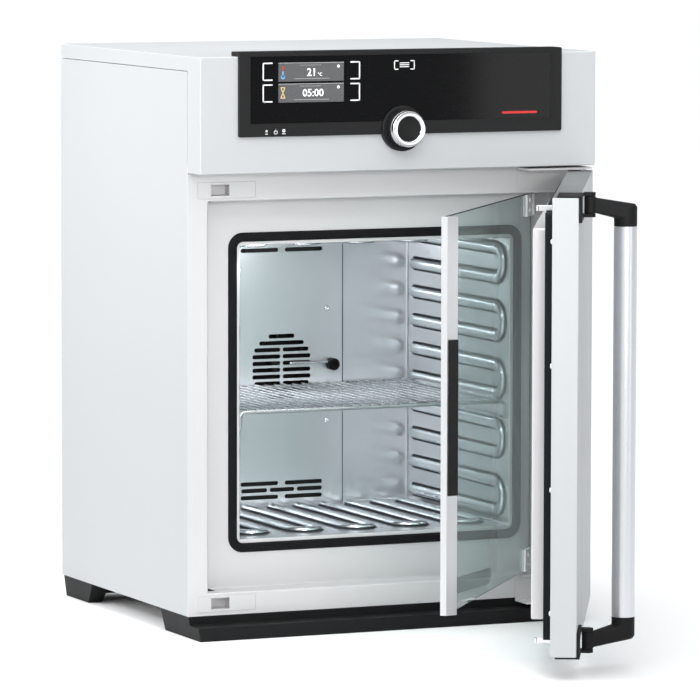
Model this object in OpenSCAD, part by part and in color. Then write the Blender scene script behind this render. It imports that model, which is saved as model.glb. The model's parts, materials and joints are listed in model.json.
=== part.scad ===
// Bench-top laboratory incubator with a chamber door of glass behind an insulated outer door.
// X runs to the right, Y to the back, Z up. The origin is on the floor, under the middle of the front frame.
// Both doors are drawn closed and then turned by their opening angles about their own hinge axes.

/* [Casing] */
// Width over the side panels
casing_w = 585; // [560:1:620]
// Height of the casing's top above the floor
casing_top = 784; // [760:1:820]
// Depth from the front frame to the rear panel
casing_d = 470; // [450:1:520]
// How far the control header stands in front of the frame
header_d = 44; // [40:1:50]
// Height of the header's lower edge
header_z = 628; // [620:1:640]
// Height of the casing's lower edge above the floor
casing_z = 30.6; // [25:0.1:40]
// Thickness of the casing sheets
sheet = 1.2; // [0.8:0.1:2]

/* [Chamber] */
// Inner width and height of the chamber
chamber_w = 400; // [380:1:410]
// Inner depth of the chamber behind the frame's back wall
chamber_d = 330; // [300:1:340]
// Height of the chamber's middle
chamber_mid_z = 326; // [320:1:330]
// Spacing of the embossed bars on the side walls
side_pitch = 40.6; // [38:0.1:42]
// Spacing of the embossed bars on the floor and ceiling
floor_pitch = 40; // [38:0.1:42]
// Width of an embossed bar
bar_w = 14.5; // [10:0.5:18]
// Height of an embossed bar over the wall
bar_h = 7; // [5:0.5:9]

/* [Front recess] */
// Width of the recess that holds the glass door
recess_w = 526; // [500:1:540]
// Lower edge of the recess
recess_bottom = 60.7; // [55:0.1:70]
// Upper edge of the recess
recess_top = 589; // [580:1:592]
// Depth of the recess
recess_d = 40; // [36:1:44]
// Thickness of the frame sheet
frame_t = 1.5; // [1:0.1:2]

/* [Outer door] */
// Opening angle of the outer door as drawn
door_angle = 61.8; // [0:0.1:110]
// Width of the door shell
door_w = 582; // [560:1:584]
// Lower edge of the door shell
door_bottom = 30.5; // [30:0.5:40]
// Upper edge of the door shell
door_top = 620; // [600:1:622]
// Thickness of the door shell
door_t = 34; // [30:1:36]
// Gap between the door shell and the front frame, filled by the seal
door_gap = 10; // [8:0.5:12]
// Distance of the hinge axis from the middle plane
door_axis_x = 280; // [270:1:284]
// Distance of the hinge axis in front of the frame
door_axis_y = 30; // [25:1:34]

/* [Glass door] */
// Opening angle of the glass door as drawn
glass_angle = 51.1; // [0:0.1:90]
// Distance of the glass hinge axis from the middle plane
glass_axis_x = 232; // [226:1:236]
// Depth of the glass hinge axis behind the frame front
glass_axis_y = 30; // [26:1:31]
// Width of the glass door from free edge to hinge edge
glass_w = 487; // [470:1:490]
// Lower edge of the glass
glass_bottom = 65; // [64:1:70]
// Upper edge of the glass
glass_top = 586; // [570:1:586]
// Thickness of the glass
glass_t = 5; // [4:0.5:6]

/* [Handle] */
// Diameter of the handle tube
handle_dia = 30; // [24:1:32]
// Distance of the handle pivot from the middle plane, on the free side of the closed door
pivot_x = 220; // [200:1:240]
// Pivot distance in front of the frame
pivot_y = 55.7; // [55.5:0.1:58]
// Reach of the handle across the door, from pivot to tube
handle_dx = 21; // [10:1:40]
// Reach of the handle away from the door, from pivot to tube
handle_dy = 45.3; // [30:1:50]

/* [Control panel] */
// Width of the black control panel
panel_w = 477; // [460:1:500]
// Lower edge of the control panel
panel_z = 677; // [670:1:690]
// How far the panel cap stands above the casing's top
panel_rise = 6.4; // [4:0.2:8]
// Diameter of the knob's metal ring
knob_dia = 48.6; // [40:0.2:52]
// Height of the knob's middle
knob_z = 684.5; // [680:0.5:690]

/* [Hidden] */
$fn = 48;
casing_x = casing_w / 2;
lid_z = casing_top - 20.5;
chamber_x = chamber_w / 2;
chamber_bottom = chamber_mid_z - chamber_x;
chamber_top = chamber_mid_z + chamber_x;
chamber_back = recess_d + chamber_d;
recess_x = recess_w / 2;
recess_mid_z = (recess_bottom + recess_top) / 2;
side_bars = 10;
floor_bars = 5;
light_grey = [0.84, 0.86, 0.88];
steel = [0.78, 0.79, 0.8];
liner_steel = [0.68, 0.73, 0.78];
black = [0.12, 0.12, 0.13];

// Rectangle from its corners, drawn in X and Z and given a depth from y0 to y1
module slab(x0, x1, y0, y1, z0, z1) {
    translate([x0, y0, z0]) cube([x1 - x0, y1 - y0, z1 - z0]);
}
// Cylinder along Y
module rod_y(x, z, r, y0, y1) {
    translate([x, y1, z]) rotate([90, 0, 0]) cylinder(r = r, h = y1 - y0);
}
// Cylinder along Z
module rod_z(x, y, r, z0, z1) {
    translate([x, y, z0]) cylinder(r = r, h = z1 - z0);
}
// Cylinder along X
module rod_x(y, z, r, x0, x1) {
    translate([x0, y, z]) rotate([0, 90, 0]) cylinder(r = r, h = x1 - x0);
}
// Rounded rectangle centred on the origin
module rounded(w, h, r) {
    square([w - 2 * r, h], center = true);
    square([w, h - 2 * r], center = true);
    for (sx = [-1, 1], sy = [-1, 1]) translate([sx * (w / 2 - r), sy * (h / 2 - r)]) circle(r = r);
}
// Flat shape drawn in X and Z, given a depth from y0 to y1
module plate_y(y0, y1) {
    translate([0, y1, 0]) rotate([90, 0, 0]) linear_extrude(y1 - y0) children();
}
// Closed door turned to its open position about its hinge
module opened(x, y, angle) {
    translate([x, y, 0]) rotate([0, 0, angle]) translate([-x, -y, 0]) children();
}
module on_door() {
    opened(door_axis_x, -door_axis_y, door_angle) children();
}
module on_glass() {
    opened(glass_axis_x, glass_axis_y, glass_angle) children();
}

/* ---------- casing ---------- */
return_w = 14;
module side_panel() {
    slab(casing_x - sheet, casing_x, frame_t, casing_d, casing_z, lid_z);
    slab(casing_x - return_w, casing_x - sheet, casing_d - sheet, casing_d, casing_z, lid_z);
}
module side_panel_left() {
    color(light_grey) mirror([1, 0, 0]) side_panel();
}
module side_panel_right() {
    color(light_grey) side_panel();
}
module top_cover() {
    color(light_grey) difference() {
        slab(-casing_x, casing_x, 0, casing_d, lid_z + 0.8, casing_top);
        slab(-casing_x + sheet, casing_x - sheet, sheet, casing_d - sheet, lid_z, casing_top - sheet);
    }
}
vent_rows = 8;
vent_pitch = 9;
fan_r = 56;
cold_z = 470;
vent_x = 170;
vent_top_z = 680;
inlet_x = -190;
inlet_z = 110;
inlet_w = 28;
inlet_h = 22;
inlet_rim = 38;
inlet_lap = 10;
module rear_panel() {
    color(light_grey) plate_y(casing_d - sheet, casing_d) difference() {
        translate([0, (casing_z + lid_z) / 2])
            square([casing_w - 2 * return_w - 0.4, lid_z - casing_z], center = true);
        translate([0, cold_z]) circle(r = fan_r);
        translate([inlet_x, inlet_z])
            square([inlet_w + 2 * (inlet_rim - inlet_lap), inlet_h + 2 * (inlet_rim - inlet_lap)],
                 center = true);
        for (row = [0:vent_rows - 1], side = [-1, 1])
            translate([side * vent_x, vent_top_z - row * vent_pitch]) rounded(120, 4, 1.9);
    }
}
module base_plate() {
    color(steel)
        slab(-casing_x + sheet, casing_x - sheet, frame_t, casing_d - sheet, casing_z, casing_z + sheet);
}

/* ---------- front frame with its recess ---------- */
keeper_x0 = -278;
keeper_x1 = -194;
keeper_h = 22;
keeper_zs = [46.5, 604];
pocket_x0 = -258.5;
pocket_x1 = -232;
pocket_h = 15;
pocket_d = 20;
hinge_plate_x0 = 195;
hinge_plate_x1 = 291;
hinge_plate_top = [593.5, door_top + 5];
hinge_plate_bottom = [casing_z, 59];
module front_frame() {
    color(steel) difference() {
        union() {
            difference() {
                slab(-casing_x, casing_x, 0, frame_t, casing_z, header_z + 8);
                slab(-recess_x, recess_x, -1, frame_t + 1, recess_bottom, recess_top);
            }
            difference() {
                slab(-recess_x - frame_t, recess_x + frame_t, frame_t, recess_d + frame_t,
                     recess_bottom - frame_t, recess_top + frame_t);
                slab(-recess_x, recess_x, 0, recess_d, recess_bottom, recess_top);
                slab(-chamber_x, chamber_x, 0, recess_d + frame_t + 1, chamber_bottom, chamber_top);
            }
        }
        for (z = keeper_zs)
            slab(keeper_x0 - 0.2, keeper_x1 + 0.2, -1, frame_t + 0.1, z - keeper_h / 2 - 0.2,
                 z + keeper_h / 2 + 0.2);
        for (span = [hinge_plate_top, hinge_plate_bottom])
            slab(hinge_plate_x0 - 0.2, casing_x + 1, -1, frame_t + 0.1, span[0] - 0.2, span[1] + 0.2);
    }
}
// One latch keeper: a flush plate with a window, and the box behind it
module latch_keeper(z) {
    difference() {
        union() {
            slab(keeper_x0, keeper_x1, 0, frame_t, z - keeper_h / 2, z + keeper_h / 2);
            slab(pocket_x0 - 9, pocket_x1 + 3, frame_t, pocket_d + sheet, z - pocket_h / 2 - sheet,
                 z + pocket_h / 2 + sheet);
        }
        slab(pocket_x0, pocket_x1, -1, frame_t + 1, z - pocket_h / 2, z + pocket_h / 2);
        slab(pocket_x0 - 7.8, pocket_x1 + 1.8, frame_t, pocket_d, z - pocket_h / 2, z + pocket_h / 2);
    }
}
module latch_keepers() {
    color(steel) for (z = keeper_zs) latch_keeper(z);
}
pin_r = 4;
bush_r = 8;
running_gap = 0.05;
tongue_t = 3;
low_strip_h = 8;
// One hinge bracket: a flush plate, a strip in front of it, a tongue that reaches forward, and the pin on it
module hinge_bracket(plate, tongue_z, strip_h, pin_z0, pin_z1) {
    slab(hinge_plate_x0, hinge_plate_x1, 0, frame_t, plate[0], plate[1]);
    slab(hinge_plate_x0, hinge_plate_x1, -door_axis_y - 8, 0, tongue_z, tongue_z + tongue_t);
    slab(hinge_plate_x0, hinge_plate_x1, -frame_t, 0, tongue_z, tongue_z + strip_h);
    rod_z(door_axis_x, -door_axis_y, pin_r, pin_z0, pin_z1);
}
module door_hinge_brackets() {
    color(steel) {
        hinge_bracket(hinge_plate_top, door_top + 2, tongue_t, door_top - 18, door_top + 3);
        hinge_bracket(hinge_plate_bottom, door_bottom - 5, low_strip_h, door_bottom - 3, door_bottom + 18);
    }
}
module glass_hinge_pins() {
    color(steel) for (up = [0, 1]) translate([0, 0, up * 2 * recess_mid_z]) mirror([0, 0, up]) {
        rod_z(glass_axis_x, glass_axis_y, 6, recess_bottom, recess_bottom + 1.8);
        rod_z(glass_axis_x, glass_axis_y, 2.5, recess_bottom, recess_bottom + 20);
    }
}
catch_h = 2.6;
// Small wedges that hold the glass door shut
module recess_catches() {
    color(black) for (up = [0, 1]) translate([0, 0, up * 2 * recess_mid_z]) mirror([0, 0, up])
        plate_y(23, 37)
            polygon([[-261, recess_bottom], [-243, recess_bottom], [-252, recess_bottom + catch_h]]);
}

/* ---------- control header ---------- */
glass_x = 222;
glass_z = 694.6;
frame_front = 49;
seat_r = 30.7;
seat_front = 52;
key_x = -186;
key_z = 683;
key_r = 4.5;
bushing_r = 4.5;
shaft_r = 3;
module header_panel() {
    color(light_grey) difference() {
        slab(-casing_x, casing_x, -header_d, 0, header_z, casing_top);
        slab(-casing_x + sheet, casing_x - sheet, -header_d + sheet, 1, header_z + sheet,
             casing_top - sheet);
        slab(-glass_x + 4, glass_x - 4, -header_d - 1, -header_d + 2, glass_z + 24, casing_top - 8);
        rod_y(0, knob_z, bushing_r + 0.1, -header_d - 1, -header_d + 2);
        rod_y(key_x, key_z, key_r + 0.4, -header_d - 1, -header_d + 2);
    }
}
module control_frame() {
    color(black) difference() {
        union() {
            slab(-panel_w / 2, panel_w / 2, -frame_front, -header_d, panel_z, casing_top + panel_rise);
            slab(-panel_w / 2, panel_w / 2, -header_d, -20, casing_top, casing_top + panel_rise);
        }
        slab(-glass_x - 0.1, glass_x + 0.1, -frame_front - 1, -header_d + 1, glass_z - 0.1,
             casing_top + 0.1);
        rod_y(0, knob_z, seat_r + 0.1, -frame_front - 1, -header_d + 1);
        rod_y(key_x, key_z, key_r + 0.3, -frame_front - 1, -header_d + 1);
    }
}
window_x0 = -181.6;
window_x1 = -86.1;
window_zs = [[722.2, 747.6], [750.2, 775.6]];
module display_glass() {
    color([0.02, 0.02, 0.02]) difference() {
        slab(-glass_x, glass_x, -frame_front + 0.6, -header_d, glass_z, casing_top);
        for (w = window_zs) slab(window_x0, window_x1, -frame_front, -frame_front + 3, w[0], w[1]);
        rod_y(0, knob_z, seat_r + 0.1, -frame_front - 1, -header_d + 1);
    }
}
module display_windows() {
    color([0.3, 0.3, 0.32]) for (w = window_zs)
        slab(window_x0, window_x1, -frame_front + 0.6, -frame_front + 3, w[0], w[1]);
}
module knob_seat() {
    color(black) difference() {
        rod_y(0, knob_z, seat_r, -seat_front, -header_d);
        rod_y(0, knob_z, bushing_r + 0.1, -seat_front - 1, -header_d + 1);
    }
}
encoder_half = 9;
encoder_front = 38;
encoder_back = 22;
shaft_back = 34;
module encoder() {
    color(steel) difference() {
        union() {
            slab(-encoder_half, encoder_half, -encoder_front, -encoder_back,
                 knob_z - encoder_half, knob_z + encoder_half);
            rod_y(0, knob_z, bushing_r, -seat_front + 0.5, -encoder_front);
        }
        rod_y(0, knob_z, shaft_r + running_gap, -seat_front, -shaft_back + 4);
    }
}
board_y = -36;
board_t = 1.6;
board_z0 = 715;
board_z1 = 775;
chip_side = 20;
module control_board() {
    color([0.1, 0.35, 0.2]) slab(-215, 20, board_y, board_y + board_t, board_z0, board_z1);
    color(black) for (x = [-200, -140, -80])
        slab(x, x + chip_side, board_y + board_t, board_y + board_t + 3.4, board_z0 + 15,
             board_z0 + 15 + chip_side);
}
supply_x = 60;
supply_y = 80;
supply_z = 640;
supply_size = [160, 100, 60];
module power_supply() {
    color(steel) translate([supply_x, supply_y, supply_z]) cube(supply_size);
}
module knob_shaft() {
    color(steel) rod_y(0, knob_z, shaft_r, -shaft_front, -shaft_back);
}
ring_front = 72;
ring_back = 62.5;
cap_r = 17;
cap_sink = 1;
knob_body_r = 25;
press_gap = 1.6;
shaft_front = 66;
module knob_body() {
    color(black) difference() {
        rod_y(0, knob_z, knob_body_r, -ring_back, -seat_front - press_gap);
        rod_y(0, knob_z, shaft_r + running_gap, -ring_back - 1, -seat_front);
    }
}
module knob_ring() {
    color([0.85, 0.85, 0.86]) difference() {
        rod_y(0, knob_z, knob_dia / 2, -ring_front, -ring_back);
        rod_y(0, knob_z, cap_r, -ring_front - 1, -ring_back + 1);
    }
}
module knob_cap() {
    color(black) difference() {
        rod_y(0, knob_z, cap_r, -ring_front + cap_sink, -ring_back);
        rod_y(0, knob_z, shaft_r + running_gap, -shaft_front - 0.4, -ring_back + 1);
    }
}
module power_key() {
    color(black) rod_y(key_x, key_z, key_r, -frame_front - 0.8, -41);
}

/* ---------- chamber ---------- */
well_r = 75;
well_back = chamber_back + 30;
shaft_hole_r = 4;
fan_axis_z = chamber_mid_z;
window_half = 30;
module chamber_liner() {
    color(liner_steel) difference() {
        union() {
            slab(-chamber_x - sheet, chamber_x + sheet, recess_d + frame_t, chamber_back + sheet,
                 chamber_bottom - sheet, chamber_top + sheet);
            rod_y(0, fan_axis_z, well_r + sheet, chamber_back, well_back + sheet);
        }
        slab(-chamber_x, chamber_x, recess_d, chamber_back, chamber_bottom, chamber_top);
        rod_y(0, fan_axis_z, well_r, chamber_back - 1, well_back);
        rod_y(0, fan_axis_z, shaft_hole_r, well_back - 1, well_back + 5);
        slab(-window_half, window_half, chamber_back - 1, chamber_back + 5, cold_z - window_half,
             cold_z + window_half);
    }
}
module bar_profile() {
    intersection() {
        translate([0, bar_h - bar_w / 2]) circle(r = bar_w / 2);
        translate([-bar_w, 0]) square([2 * bar_w, bar_w]);
    }
}
// Two parallel bars joined by a round nose, lying along X with the nose towards -X
module embossed_loop(pitch, length) {
    rotate([0, 0, 90]) rotate_extrude(angle = 180) translate([pitch / 2, 0]) bar_profile();
    for (s = [-1, 1]) translate([0, s * pitch / 2, 0]) {
        rotate([90, 0, 90]) linear_extrude(length) bar_profile();
        translate([length, 0, 0]) rotate([0, 0, -90]) rotate_extrude(angle = 180) intersection() {
            bar_profile();
            square([bar_w, bar_w]);
        }
    }
}
side_nose_y = 51;
floor_nose_y = 77;
bar_end_y = 347;
module wall_loops() {
    for (i = [0:side_bars / 2 - 1])
        translate([-chamber_x, side_nose_y + (side_pitch + bar_w) / 2,
             chamber_mid_z + (2 * i - 4) * side_pitch])
            rotate([90, 0, 90])
                embossed_loop(side_pitch, bar_end_y - bar_w - side_nose_y - side_pitch / 2);
}
module floor_loops() {
    for (i = [0:floor_bars - 1])
        translate([(i - 2) * 2 * floor_pitch, floor_nose_y + (floor_pitch + bar_w) / 2, chamber_bottom])
            rotate([0, 0, 90])
                embossed_loop(floor_pitch, bar_end_y - bar_w - floor_nose_y - floor_pitch / 2);
}
module chamber_ribs() {
    color(liner_steel) {
        for (s = [0, 1]) mirror([s, 0, 0]) wall_loops();
        floor_loops();
        translate([0, 0, 2 * chamber_mid_z]) mirror([0, 0, 1]) floor_loops();
    }
}
baffle_x = 94;
baffle_y = 362;
slot_h = 6;
// Slot with round ends from x0 to x1 at height z
module slot(x0, x1, z) {
    translate([(x0 + x1) / 2, z]) rounded(x1 - x0, slot_h, slot_h / 2 - 0.05);
}
grille_half = [20, 34.5, 42, 45, 45, 45, 45, 42, 34.5, 20];
grille_pitch = 9.57;
grille_top_z = 369;
web_x = 1.7;
module fan_grille() {
    for (row = [0:9]) let (half = grille_half[row], z = grille_top_z - row * grille_pitch)
        if (row < 2 || row > 7) slot(-half, half, z);
        else for (s = [0, 1]) mirror([s, 0]) slot(web_x, half, z);
}
slot_x0 = 5;
slot_x1 = 63;
low_slot_zs = [140, 159.5];
mid_slot_z = 150;
mid_slots = [[-62, -22], [-18, 20], [24, 63]];
top_slot_z = 492;
module lower_grille() {
    for (z = low_slot_zs, s = [0, 1]) mirror([s, 0]) slot(slot_x0, slot_x1, z);
    for (span = mid_slots) slot(span[0], span[1], mid_slot_z);
}
module rear_baffle() {
    color(liner_steel) {
        plate_y(baffle_y, baffle_y + sheet) difference() {
            translate([0, chamber_mid_z]) square([2 * baffle_x, chamber_w - 0.6], center = true);
            fan_grille();
            lower_grille();
            for (s = [0, 1]) mirror([s, 0]) slot(slot_x0, slot_x1, top_slot_z);
            for (sx = [-1, 1], z = screw_zs) translate([sx * screw_x, z]) circle(r = screw_r + 0.1);
        }
        for (s = [0, 1]) mirror([s, 0, 0])
            slab(baffle_x - sheet, baffle_x, baffle_y + sheet, chamber_back, chamber_bottom + 0.3,
                 chamber_top - 0.3);
    }
}
screw_x = 70;
screw_zs = [246.5, 407];
screw_r = 2.1;
screw_head_r = 4;
screw_head_h = 2;
module baffle_screws() {
    color(steel) for (sx = [-1, 1], z = screw_zs) {
        rod_y(sx * screw_x, z, screw_head_r, baffle_y - screw_head_h, baffle_y);
        rod_y(sx * screw_x, z, screw_r, baffle_y, chamber_back);
    }
}
grommet_x = 76.8;
grommet_z = 327;
grommet_r = 8.5;
grommet_t = 15;
probe_y = 352;
probe_z = 331;
probe_r = 2;
probe_x0 = 8;
module temperature_sensor() {
    color(steel) rod_x(probe_y, probe_z, probe_r, probe_x0, grommet_x - grommet_r + 0.1);
}
module sensor_grommet() {
    color(black) rod_y(grommet_x, grommet_z, grommet_r, baffle_y - grommet_t, baffle_y);
}
gasket_t = 3.2;
gasket_gap = 4.8;
gasket_w = 12.5;
gasket_inner = chamber_w + 2 * gasket_gap;
gasket_outer = gasket_inner + 2 * gasket_w;
module opening_gasket() {
    color(black) plate_y(recess_d - gasket_t, recess_d) translate([0, chamber_mid_z]) difference() {
        rounded(gasket_outer, gasket_outer, 21);
        rounded(gasket_inner, gasket_inner, 9);
    }
}
foam_x = 289;
foam_y0 = 43;
foam_y1 = 415;
foam_z0 = 34;
foam_z1 = 600;
foam_gap = 2;
module insulation() {
    side = chamber_x + foam_gap;
    low = chamber_bottom - foam_gap;
    high = chamber_top + foam_gap;
    color([0.85, 0.8, 0.6]) {
        for (s = [0, 1]) mirror([s, 0, 0]) slab(side, foam_x, foam_y0, foam_y1, foam_z0, foam_z1);
        slab(-side, side, foam_y0, foam_y1, foam_z0, low);
        slab(-side, side, foam_y0, foam_y1, high, foam_z1);
        difference() {
            slab(-side, side, chamber_back + foam_gap, foam_y1, low, high);
            rod_y(0, fan_axis_z, well_r + foam_gap, chamber_back, foam_y1 + 1);
            slab(-window_half, window_half, chamber_back, foam_y1 + 1, cold_z - window_half,
                 cold_z + window_half);
        }
    }
}
motor_r = 28;
motor_l = 30;
motor_y0 = well_back + sheet;
fan_shaft_r = 2.5;
module fan_motor() {
    color(black) difference() {
        rod_y(0, fan_axis_z, motor_r, motor_y0, motor_y0 + motor_l);
        rod_y(0, fan_axis_z, fan_shaft_r + running_gap, motor_y0 - 1, motor_y0 + 12);
    }
}
module fan_shaft() {
    color(steel) rod_y(0, fan_axis_z, fan_shaft_r, chamber_back + 5, motor_y0 + 10);
}
blade_count = 12;
blade_t = 1.6;
blade_r0 = 38;
blade_r1 = 65;
wheel_r = 66;
wheel_hub_r = 10;
wheel_y0 = chamber_back + 6;
wheel_y1 = chamber_back + 24;
wheel_disc_t = 2;
module fan_wheel() {
    disc_y = wheel_y1 - wheel_disc_t;
    color(steel) difference() {
        union() {
            rod_y(0, fan_axis_z, wheel_r, disc_y, wheel_y1);
            rod_y(0, fan_axis_z, wheel_hub_r, wheel_y0, disc_y);
            for (i = [0:blade_count - 1]) translate([0, 0, fan_axis_z]) rotate([0, i * 360 / blade_count, 0])
                slab(blade_r0, blade_r1, wheel_y0, disc_y + 0.5, -blade_t / 2, blade_t / 2);
        }
        rod_y(0, fan_axis_z, fan_shaft_r, wheel_y0 - 1, wheel_y1 + 1);
    }
}
aluminium = [0.75, 0.76, 0.78];
cold_half = 55;
cold_low = 56;
cold_high = 50;
cold_t = 5;
neck_half = 26;
module cold_plate() {
    color(aluminium) {
        slab(-cold_half, cold_half, chamber_back - cold_t, chamber_back, cold_z - cold_low,
             cold_z + cold_high);
        slab(-neck_half, neck_half, chamber_back, foam_y1, cold_z - neck_half, cold_z + neck_half);
    }
}
peltier_half = 20;
peltier_t = 4;
module peltier_module() {
    color("white")
        slab(-peltier_half, peltier_half, foam_y1, foam_y1 + peltier_t, cold_z - peltier_half,
             cold_z + peltier_half);
}
fin_count = 15;
fin_t = 1.6;
fin_h = 20;
sink_half = 60;
sink_base = 5;
sink_y = foam_y1 + peltier_t;
module heat_sink() {
    span = 2 * sink_half - 2;
    color(aluminium) {
        slab(-sink_half, sink_half, sink_y, sink_y + sink_base, cold_z - sink_half, cold_z + sink_half);
        for (i = [0:fin_count - 1]) translate([i * span / (fin_count - 1) - span / 2, 0, 0])
            slab(-fin_t / 2, fin_t / 2, sink_y + sink_base, sink_y + sink_base + fin_h,
                 cold_z - sink_half, cold_z + sink_half);
    }
}
fan_y0 = sink_y + sink_base + fin_h + 0.5;
fan_y1 = casing_d - sheet;
stator_r = 18;
spindle_r = 2;
spindle_l = 11;
rotor_r = 20;
rotor_blades = 7;
blade_tilt = 35;
module rear_fan_frame() {
    color(black) {
        difference() {
            slab(-sink_half, sink_half, fan_y0, fan_y1, cold_z - sink_half, cold_z + sink_half);
            rod_y(0, cold_z, fan_r, fan_y0 - 1, fan_y1 + 1);
        }
        for (a = [0, 90]) translate([0, 0, cold_z]) rotate([0, a, 0])
            slab(-fan_r - 1, fan_r + 1, fan_y0, fan_y0 + 2, -3, 3);
        rod_y(0, cold_z, stator_r, fan_y0, fan_y0 + 3);
        rod_y(0, cold_z, spindle_r, fan_y0 + 3, fan_y0 + 3 + spindle_l);
    }
}
module rear_fan_rotor() {
    color(black) difference() {
        union() {
            rod_y(0, cold_z, rotor_r, fan_y0 + 4, fan_y1 - 2);
            for (i = [0:rotor_blades - 1]) translate([0, 0, cold_z]) rotate([0, i * 360 / rotor_blades, 0])
                translate([36, fan_y0 + 12, 0]) rotate([blade_tilt, 0, 0])
                    cube([34, 1.6, 20], center = true);
        }
        rod_y(0, cold_z, spindle_r + running_gap, fan_y0, fan_y0 + spindle_l + 4);
    }
}
guard_wire = 2;
guard_pitch = 11;
guard_reach = 66;
module rear_fan_cover() {
    color(steel) translate([0, casing_d, cold_z]) rotate([-90, 0, 0]) {
        for (r = [12:guard_pitch:fan_r]) rotate_extrude() translate([r, 0]) square(guard_wire);
        for (a = [0, 90]) rotate([0, 0, a]) translate([-guard_reach, -guard_wire, 0])
            cube([2 * guard_reach, 2 * guard_wire, guard_wire]);
    }
}
inlet_front = casing_d + 3;
inlet_wall = 2;
socket_d = 20;
pin_pitch = 7;
module mains_inlet() {
    half_w = inlet_w / 2;
    half_h = inlet_h / 2;
    color(black) difference() {
        union() {
            plate_y(casing_d, inlet_front) translate([inlet_x, inlet_z])
                rounded(inlet_w + 2 * inlet_rim, inlet_h + 2 * inlet_rim, 5);
            slab(inlet_x - half_w, inlet_x + half_w, casing_d - socket_d - 5, casing_d + 1,
                 inlet_z - half_h, inlet_z + half_h);
        }
        slab(inlet_x - half_w + inlet_wall, inlet_x + half_w - inlet_wall, casing_d - socket_d,
             inlet_front + 1,
             inlet_z - half_h + inlet_wall, inlet_z + half_h - inlet_wall);
    }
    color(steel) for (x = [-pin_pitch, 0, pin_pitch]) translate([inlet_x + x, 0, inlet_z])
        slab(-1, 1, casing_d - socket_d, casing_d - 2, -2, 2);
}
wire_r = 1.5;
rail_r = 2.5;
shelf_x = 196.5;
shelf_z = 298;
rail_z = 275;
shelf_y0 = 48;
shelf_y1 = 356;
wire_count = 27;
wire_pitch = 14.3;
module wire_shelf() {
    color(steel) {
        for (y = [shelf_y0, shelf_y1]) {
            rod_x(y, shelf_z, rail_r, -shelf_x, shelf_x);
            for (s = [-1, 1]) {
                rod_z(s * shelf_x, y, rail_r, rail_z, shelf_z);
                translate([s * shelf_x, y, shelf_z]) sphere(r = rail_r);
                translate([s * shelf_x, y, rail_z]) sphere(r = rail_r);
            }
        }
        for (s = [-1, 1]) rod_y(s * shelf_x, rail_z, rail_r, shelf_y0, shelf_y1);
        for (i = [0:wire_count - 1])
            rod_y((i - (wire_count - 1) / 2) * wire_pitch, shelf_z + rail_r + wire_r - 1, wire_r,
                 shelf_y0 - 1, shelf_y1 + 1);
    }
}

/* ---------- what it stands on ---------- */
plinth_ledge_z = 19;
module front_plinth() {
    color(black) intersection() {
        rotate([90, 0, 90]) translate([0, 0, -casing_x]) linear_extrude(casing_w)
            polygon([[-31, 0], [95, 0], [101, casing_z], [0, casing_z], [0, plinth_ledge_z],
                     [-31, plinth_ledge_z]]);
        plate_y(-40, 110)
            polygon([[-287, 0], [287, 0], [casing_x - 0.5, casing_z], [-casing_x + 0.5, casing_z]]);
    }
}
module rear_feet() {
    color(black) for (s = [0, 1]) mirror([s, 0, 0]) intersection() {
        rotate([90, 0, 90]) linear_extrude(casing_x)
            polygon([[385, 0], [casing_d, 0], [casing_d, casing_z], [359, casing_z]]);
        plate_y(350, casing_d + 10) polygon([[265, 0], [286, 0], [290, casing_z], [262, casing_z]]);
    }
}
module rear_crossbar() {
    color(black) slab(-261.8, 261.8, 400, 440, 10, casing_z);
}

/* ---------- outer door, drawn closed and then opened ---------- */
door_x = door_w / 2;
door_mid_z = (door_bottom + door_top) / 2;
shell_back = -door_gap;
shell_front = shell_back - door_t;
back_opening_x = 276;
back_opening_inset = 8;
module door_shell() {
    color(light_grey) on_door() difference() {
        slab(-door_x, door_x, shell_front, shell_back, door_bottom, door_top);
        slab(-door_x + sheet, door_x - sheet, shell_front + sheet, shell_back - sheet,
             door_bottom + sheet, door_top - sheet);
        slab(-back_opening_x, back_opening_x, shell_back - 2 * sheet, shell_back + 1,
             door_bottom + back_opening_inset, door_top - back_opening_inset);
        rod_z(door_axis_x, -door_axis_y, bush_r, door_bottom - 1, door_top + 1);
    }
}
bush_h = 18;
module door_hinge_bushes() {
    color([0.7, 0.6, 0.4]) on_door() for (z = [door_bottom, door_top - bush_h]) difference() {
        rod_z(door_axis_x, -door_axis_y, bush_r, z, z + bush_h);
        rod_z(door_axis_x, -door_axis_y, pin_r + running_gap, z - 1, z + bush_h + 1);
    }
}
plug_x = 245;
plug_z0 = 73;
plug_z1 = 578;
plug_y = 16.5;
seal_x = 279;
seal_inset = 15;
seal_back = -0.5;
hook_x0 = -246.5;
hook_x1 = -243.5;
hook_h = 7;
hook_tip_y = 12;
hook_lip = 5.5;
latch_travel = 10;
channel_x0 = hook_x0 - hook_lip - latch_travel - 1.5;
module door_insulation() {
    color([0.85, 0.8, 0.6]) on_door() difference() {
        slab(-door_x + 3, door_x - 3, shell_front + 2, shell_back - 2, door_bottom + 3, door_top - 3);
        rod_z(door_axis_x, -door_axis_y, bush_r + 1, door_bottom, door_top);
        slab(channel_x0, hook_x1 + 1.5, shell_back - 14, shell_back, door_bottom + 5, door_top - 5);
    }
}
module door_inner_panel() {
    color([0.88, 0.85, 0.86]) on_door() difference() {
        slab(-plug_x, plug_x, shell_back, plug_y, plug_z0, plug_z1);
        slab(-plug_x + sheet, plug_x - sheet, shell_back - 1, plug_y - sheet, plug_z0 + sheet,
             plug_z1 - sheet);
    }
}
seal_chamfer = 9;
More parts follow.
